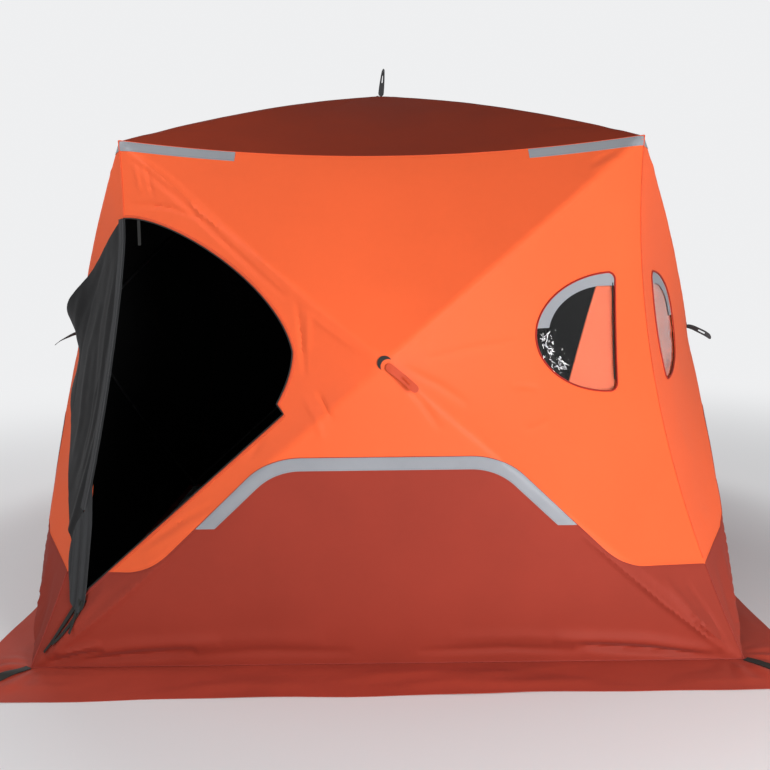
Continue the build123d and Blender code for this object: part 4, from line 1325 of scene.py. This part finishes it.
teeth_path = on_wall("front", spaced(door_free_edge(0.0012), 0.006, False), 0.0022)
finish_piece(tube("door_zip_teeth", [(teeth_path, False)], 0.0022, WEBBING), "black_webbing")

# The zip's tails: path, width at the start and at the end, distance from the cloth
TAILS = [
    ([DOOR_SILL, (-1.040, 0.205), (-1.075, 0.175), (-1.090, 0.130), (-1.150, 0.060)], 0.016, 0.006, 0.005),
    ([(-1.012, 0.236), (-1.020, 0.190), (-1.055, 0.165), (-1.075, 0.125), (-1.118, 0.092)], 0.013, 0.007, 0.010),
    ([(-1.022, 0.240), (-1.030, 0.215), (-1.038, 0.165), (-1.048, 0.140)], 0.011, 0.008, 0.014),
]
tail_jobs = []
for path, start_width, end_width, out in TAILS:
    flat, faces = ribbon(bezier(path, 20), start_width, end_width)
    rise = 0.005 * np.abs(ripples(flat, 34.0, 5 + out))
    tail_jobs.append((flat, faces, on_wall("front", flat, out, rise)))
strips("door_zip_tail", tail_jobs, [STRAP], 0.0014, "black_webbing")

# %% [markdown]
# The snow skirt is one wide strip sewn round the base. Snow is heaped on it, so it is cut wide
# and lies loose: long shallow waves along the walls, and folds that fan out at each corner.

# %% Snow skirt
SKIRT_INNER = 1.170
SKIRT_CORNER = 1.40
SKIRT_REACH = {"front": 1.412, "right": 1.392, "back": 1.418, "left": 1.392}


def skirt_edge():
    """The skirt's outer edge all round, counter-clockwise from its front left corner."""
    loops = []
    along = np.linspace(-SKIRT_CORNER, SKIRT_CORNER, 90)[:-1]
    ends_fade = np.clip((SKIRT_CORNER - np.abs(along)) / 0.2, 0, 1)
    for side, reach in SKIRT_REACH.items():
        seed = SIDE_SEED[side]
        slope = -0.016 * along / SKIRT_CORNER if side == "front" else 0 * along
        wave = 0.004 * np.sin(along * 6.0 + seed) + 0.002 * np.sin(along * 15.0 + 2 * seed)
        out = reach + (slope + wave) * ends_fade
        loops.append(turned(np.column_stack([along, -out, 0 * along]), side)[:, :2])
    return np.vstack(loops)


def skirt_height(flat):
    """How high the skirt lies over the ground."""
    x, y = np.abs(flat).T
    out = np.maximum(x, y)
    free = np.clip((out - 1.205) / 0.07, 0, 1)
    rim = np.clip((SKIRT_CORNER - out) / 0.06, 0.25, 1)
    slow, fast = np.where(out == y, 1.0, 3.2), np.where(out == y, 3.2, 1.0)
    stretched = flat * np.column_stack([slow, fast])
    waves = 0.0085 * (0.35 + ripples(stretched, 1.9, 91.0)) + 0.003 * ripples(stretched, 5.5, 95.0)
    corner = np.exp(-(((x - 1.26) ** 2 + (y - 1.26) ** 2) / 0.12**2))
    turn = np.arctan2(y - 1.16, x - 1.16) * 13.0 + np.sign(flat) @ [1, 2]
    fans = corner * 0.006 * (1 + np.sin(turn))
    crease = 0.004 * np.exp(-(((x - y) / 0.012) ** 2))
    lift = np.maximum(waves, 0) * rim + fans * rim + crease * np.clip((out - 1.2) / 0.03, 0, 1)
    return 0.0016 + 0.0012 * (1 - free) + free * lift


CORNERS = [(a, b) for a in (-1, 1) for b in (-1, 1)]
skirt_hole = SKIRT_INNER * np.array([(-1, -1), (1, -1), (1, 1), (-1, 1)])
mitres = [(np.array([(1.17, 1.17), (1.45, 1.45)]) * corner, False) for corner in CORNERS]
flat, faces = cut(skirt_edge(), lambda p: ~inside(p, skirt_hole), [(skirt_hole, True), *mitres], 0.0135)
places = np.column_stack([flat, skirt_height(flat)])
skirt = cloth_piece("snow_skirt_cloth", flat, faces, places, [SKIRT], CLOTH)
finish_piece(skirt, "skirt_cloth", *[f"{side}_snow_skirt" for side in SIDES])

# %% [markdown]
# A strap of webbing lies over each corner of the skirt, to be pegged down. It follows the
# skirt's own height, so it rests on the folds that fan out there.

# %% Anchor straps
STRAP_WIDTH = 0.028
STRAP_OUT = 0.0026

strap_middle = bezier([(1.203, 1.203), (1.235, 1.245), (1.275, 1.315), (1.305, 1.392)], 14)
strap_jobs = []
for corner in CORNERS:
    flat, faces = cut(beside(strap_middle, STRAP_WIDTH) * corner, everywhere, [], 0.007)
    height = skirt_height(flat) + STRAP_OUT + 0.001 * (1 + ripples(flat, 16.0, 12.0))
    strap_jobs.append((flat, faces, np.column_stack([flat, height])))
strips("anchor_straps_laid", strap_jobs, [STRAP], 0.0016, "black_webbing", "anchor_straps")

# %% [markdown]
# Thread holds it all together. Each stitch is a tiny spindle of eight faces that lies on the
# cloth, with a gap before the next. One mesh holds all the stitches of one thread colour.

# %% Stitches
STITCH = 0.0048
STITCH_STEP = 0.0075
STITCH_RADIUS = 0.0007
TAPE_STITCH_IN = 0.004
CLOTH_STITCH_OUT = 0.0004


SPINDLE = np.array([[end, 1 + (k + turn) % 4, 1 + (k + 1 - turn) % 4]
                    for end, turn in ((0, 0), (5, 1)) for k in range(4)])


def stitch_mesh(name, runs, material):
    """Spindles along runs of (points, outward) on the cloth."""
    points, faces, first_point = [], [], 0
    for path, outward in runs:
        lengths = np.concatenate([[0], np.cumsum(np.linalg.norm(np.diff(path, axis=0), axis=1))])
        starts = np.arange(0, lengths[-1] - STITCH, STITCH_STEP)
        first, last = (np.column_stack([np.interp(ends, lengths, column) for column in path.T])
                       for ends in (starts, starts + STITCH))
        run = (last - first) / np.linalg.norm(last - first, axis=1)[:, None]
        side = np.cross(run, outward)
        side /= np.linalg.norm(side, axis=1)[:, None]
        up = np.cross(side, run)
        ring = [(first + last) / 2 + STITCH_RADIUS * way for way in (side, up, -side, -up)]
        points.append(np.stack([first, *ring, last], 1).reshape(-1, 3))
        offsets = first_point + 6 * np.arange(len(starts))[:, None, None]
        faces.append((offsets + SPINDLE[None]).reshape(-1, 3))
        first_point += len(points[-1])
    mesh = bpy.data.meshes.new(name)
    mesh.from_pydata(np.vstack(points).tolist(), [], np.vstack(faces).tolist())
    mesh.materials.append(material)
    piece = bpy.data.objects.new(name, mesh)
    bpy.context.scene.collection.objects.link(piece)
    select_only(piece)
    bpy.ops.object.mode_set(mode="EDIT")
    bpy.ops.mesh.select_all(action="SELECT")
    bpy.ops.mesh.normals_make_consistent(inside=False)
    bpy.ops.object.mode_set(mode="OBJECT")
    return piece


def stitched(side, line, closed=False, out=TRIM_OUT + 0.0004):
    """A run of stitches on a wall along a line, with the wall's outward direction."""
    path = on_wall(side, spaced(line, 0.012, closed), out)
    return path, turned([(0, -1, 0)], side)[0]


def along_roofline(start, end, down, count):
    """A line below the roofline."""
    across = np.linspace(start, end, count)
    return np.column_stack([across, roofline(across) - down])


tape_runs, orange_runs, brick_runs = [], [], []
beside_door = np.vstack([door_free_edge(0.014), hinge_edge()[1:-1]])
for side in SIDES:
    for lift in (-TAPE_STITCH_IN, TAPE_STITCH_IN - SEAM_TAPE_WIDTH):
        line = spaced(seam_line(lift), 0.01, False)
        kept = (line[:, 1] > SEAM_TAPE_END + TAPE_STITCH_IN) & (np.abs(line[:, 0]) < 0.7)
        tape_runs.append(stitched(side, line[kept]))
    for end in (-1, 1):
        for down in (TAPE_STITCH_IN, CORNER_TAPE_WIDTH - TAPE_STITCH_IN):
            line = along_roofline(end * (CORNER_TAPE_END + 0.005), end * 0.872, down, 20)
            tape_runs.append(stitched(side, line))
    for lift, runs in ((0.006, orange_runs), (-0.006, brick_runs)):
        line = spaced(seam_line(lift), 0.01, False)
        kept = (line[:, 1] < SEAM_TAPE_END - 0.003) & (np.abs(line[:, 0]) < corner_across(line[:, 1]) - 0.01)
        kept &= np.abs(line[:, 0]) > 0.5
        if side == "front":
            kept &= ~inside(line, beside_door)
        runs += [stitched(side, run, out=CLOTH_STITCH_OUT) for run in kept_runs(line, kept)]
    orange_runs.append(stitched(side, window_outline(-0.0085, WINDOW_SIGN[side]), True, CLOTH_STITCH_OUT))
    orange_runs.append(stitched(side, along_roofline(-0.50, 0.50, 0.007, 60), out=CLOTH_STITCH_OUT))
    base_line = np.column_stack([np.linspace(-1.15, 1.15, 80), np.full(80, 0.016)])
    brick_runs.append(stitched(side, base_line, out=CLOTH_STITCH_OUT))
door_stitch = spaced(door_free_edge(ZIP_WIDTH - 0.003), 0.01, False)
below_seam = inside(door_stitch, SEAM)
orange_runs.append(stitched("front", door_stitch[~below_seam]))
brick_runs.append(stitched("front", door_stitch[below_seam]))
for name, runs, material, slot_name in (("tape_stitches", tape_runs, GREY_THREAD, "reflective_tape"),
                                        ("orange_stitches", orange_runs, ORANGE_SEAM, "orange_shell_cloth"),
                                        ("brick_stitches", brick_runs, BRICK_SEAM, "brick_shell_cloth")):
    finish_piece(stitch_mesh(name, runs, material), slot_name)

# %% [markdown]
# Each hub has a loop of folded cloth to pull it outward when the shelter is put up. A loop is
# limp but doubled, so it stands off and droops a little. The front one is coral, and the others
# are dark webbing. Each is a slotted strip, laid along a drooping line.

# %% Pull loops
LOOP_LENGTH = 0.118
LOOP_WIDTH = 0.024
SLOT_LENGTH = 0.032
SLOT_WIDTH = 0.0075
SLOT_PLACE = 0.62
LOOP_CLOTH = 0.0024
LOOP_ROOT = 1.3885


def rounded_bar(length, width, center):
    """A bar with round ends, counter-clockwise."""
    reach, r = length / 2 - width / 2, width / 2
    right = [(center + reach + r * cos(t), r * sin(t)) for t in np.linspace(-pi / 2, pi / 2, 12)]
    left = [(center - reach + r * cos(t), r * sin(t)) for t in np.linspace(pi / 2, 3 * pi / 2, 12)]
    return np.array(right + left)


def loop_strip(root, direction, droop, twist=0.0):
    """A pull loop from its root, as (flat, faces, places)."""
    bar = rounded_bar(LOOP_LENGTH, LOOP_WIDTH, LOOP_LENGTH / 2)
    slot_hole = rounded_bar(SLOT_LENGTH, SLOT_WIDTH, LOOP_LENGTH * SLOT_PLACE)
    flat, faces = cut(bar, lambda p: ~inside(p, slot_hole), [(slot_hole, True)], 0.0035)
    run = Vector(direction).normalized()
    outward = Vector((root[0], root[1], 0)).normalized() if max(map(abs, root[:2])) > 0.1 else Vector((0, -1, 0))
    across = run.cross(outward).normalized()
    normal = across.cross(run).normalized()
    if normal.dot(outward) < 0:
        across, normal = -across, -normal
    share = flat[:, 0:1] / LOOP_LENGTH
    run, across, normal = (np.array(v) for v in (run, across, normal))
    lean = flat[:, 1:2] * np.cos(twist * share)
    rise = flat[:, 1:2] * np.sin(twist * share) + 0.0015 * np.sin(share * 9)
    places = np.array(root) + flat[:, 0:1] * run + lean * across + rise * normal
    places[:, 2] -= (droop * share[:, 0] ** 2)
    return flat, faces, places


front_loop = loop_strip((0.006, -LOOP_ROOT, 1.034), (0.78, -0.16, -0.60), 0.006)
dark_loops = [loop_strip((s * LOOP_ROOT, 0.0, 1.036), (s * 0.93, -0.10, -0.12), 0.040, 0.9) for s in (-1, 1)]
dark_loops += [loop_strip((0.0, LOOP_ROOT, 1.036), (-0.70, 0.30, -0.60), 0.010),
               loop_strip((0.0, 0.0, 2.068), (0.12, 0.02, 1.0), 0.0, 1.2)]
for name, jobs, material in (("front_pull_loop", [front_loop], LOOP), ("dark_pull_loops", dark_loops, DARK_LOOP)):
    strips(name, jobs, [material], LOOP_CLOTH, "loop_cloth", "pull_loops")

# %% [markdown]
# Poles, hubs, sockets, tabs, zip pulls and the tie strap stay as the frame has them. They only
# get better materials here.

# %% Looks of the frame's other nodes
FINISHES = {"poles": ROD, "hub": PLASTIC, "sockets": PLASTIC, "tabs": WEBBING, "pulls": ZIP_METAL,
            "strap": WEBBING}
for name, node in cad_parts.items():
    finish = FINISHES.get(name.split("_")[-1])
    if finish:
        node.data.materials.clear()
        node.data.materials.append(finish)

counts = {piece.name: sum(len(p.vertices) - 2 for p in piece.data.polygons)
          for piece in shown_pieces() if piece.type == "MESH"}
print("triangles:", sum(counts.values()), "most in", max(counts, key=counts.get), max(counts.values()))
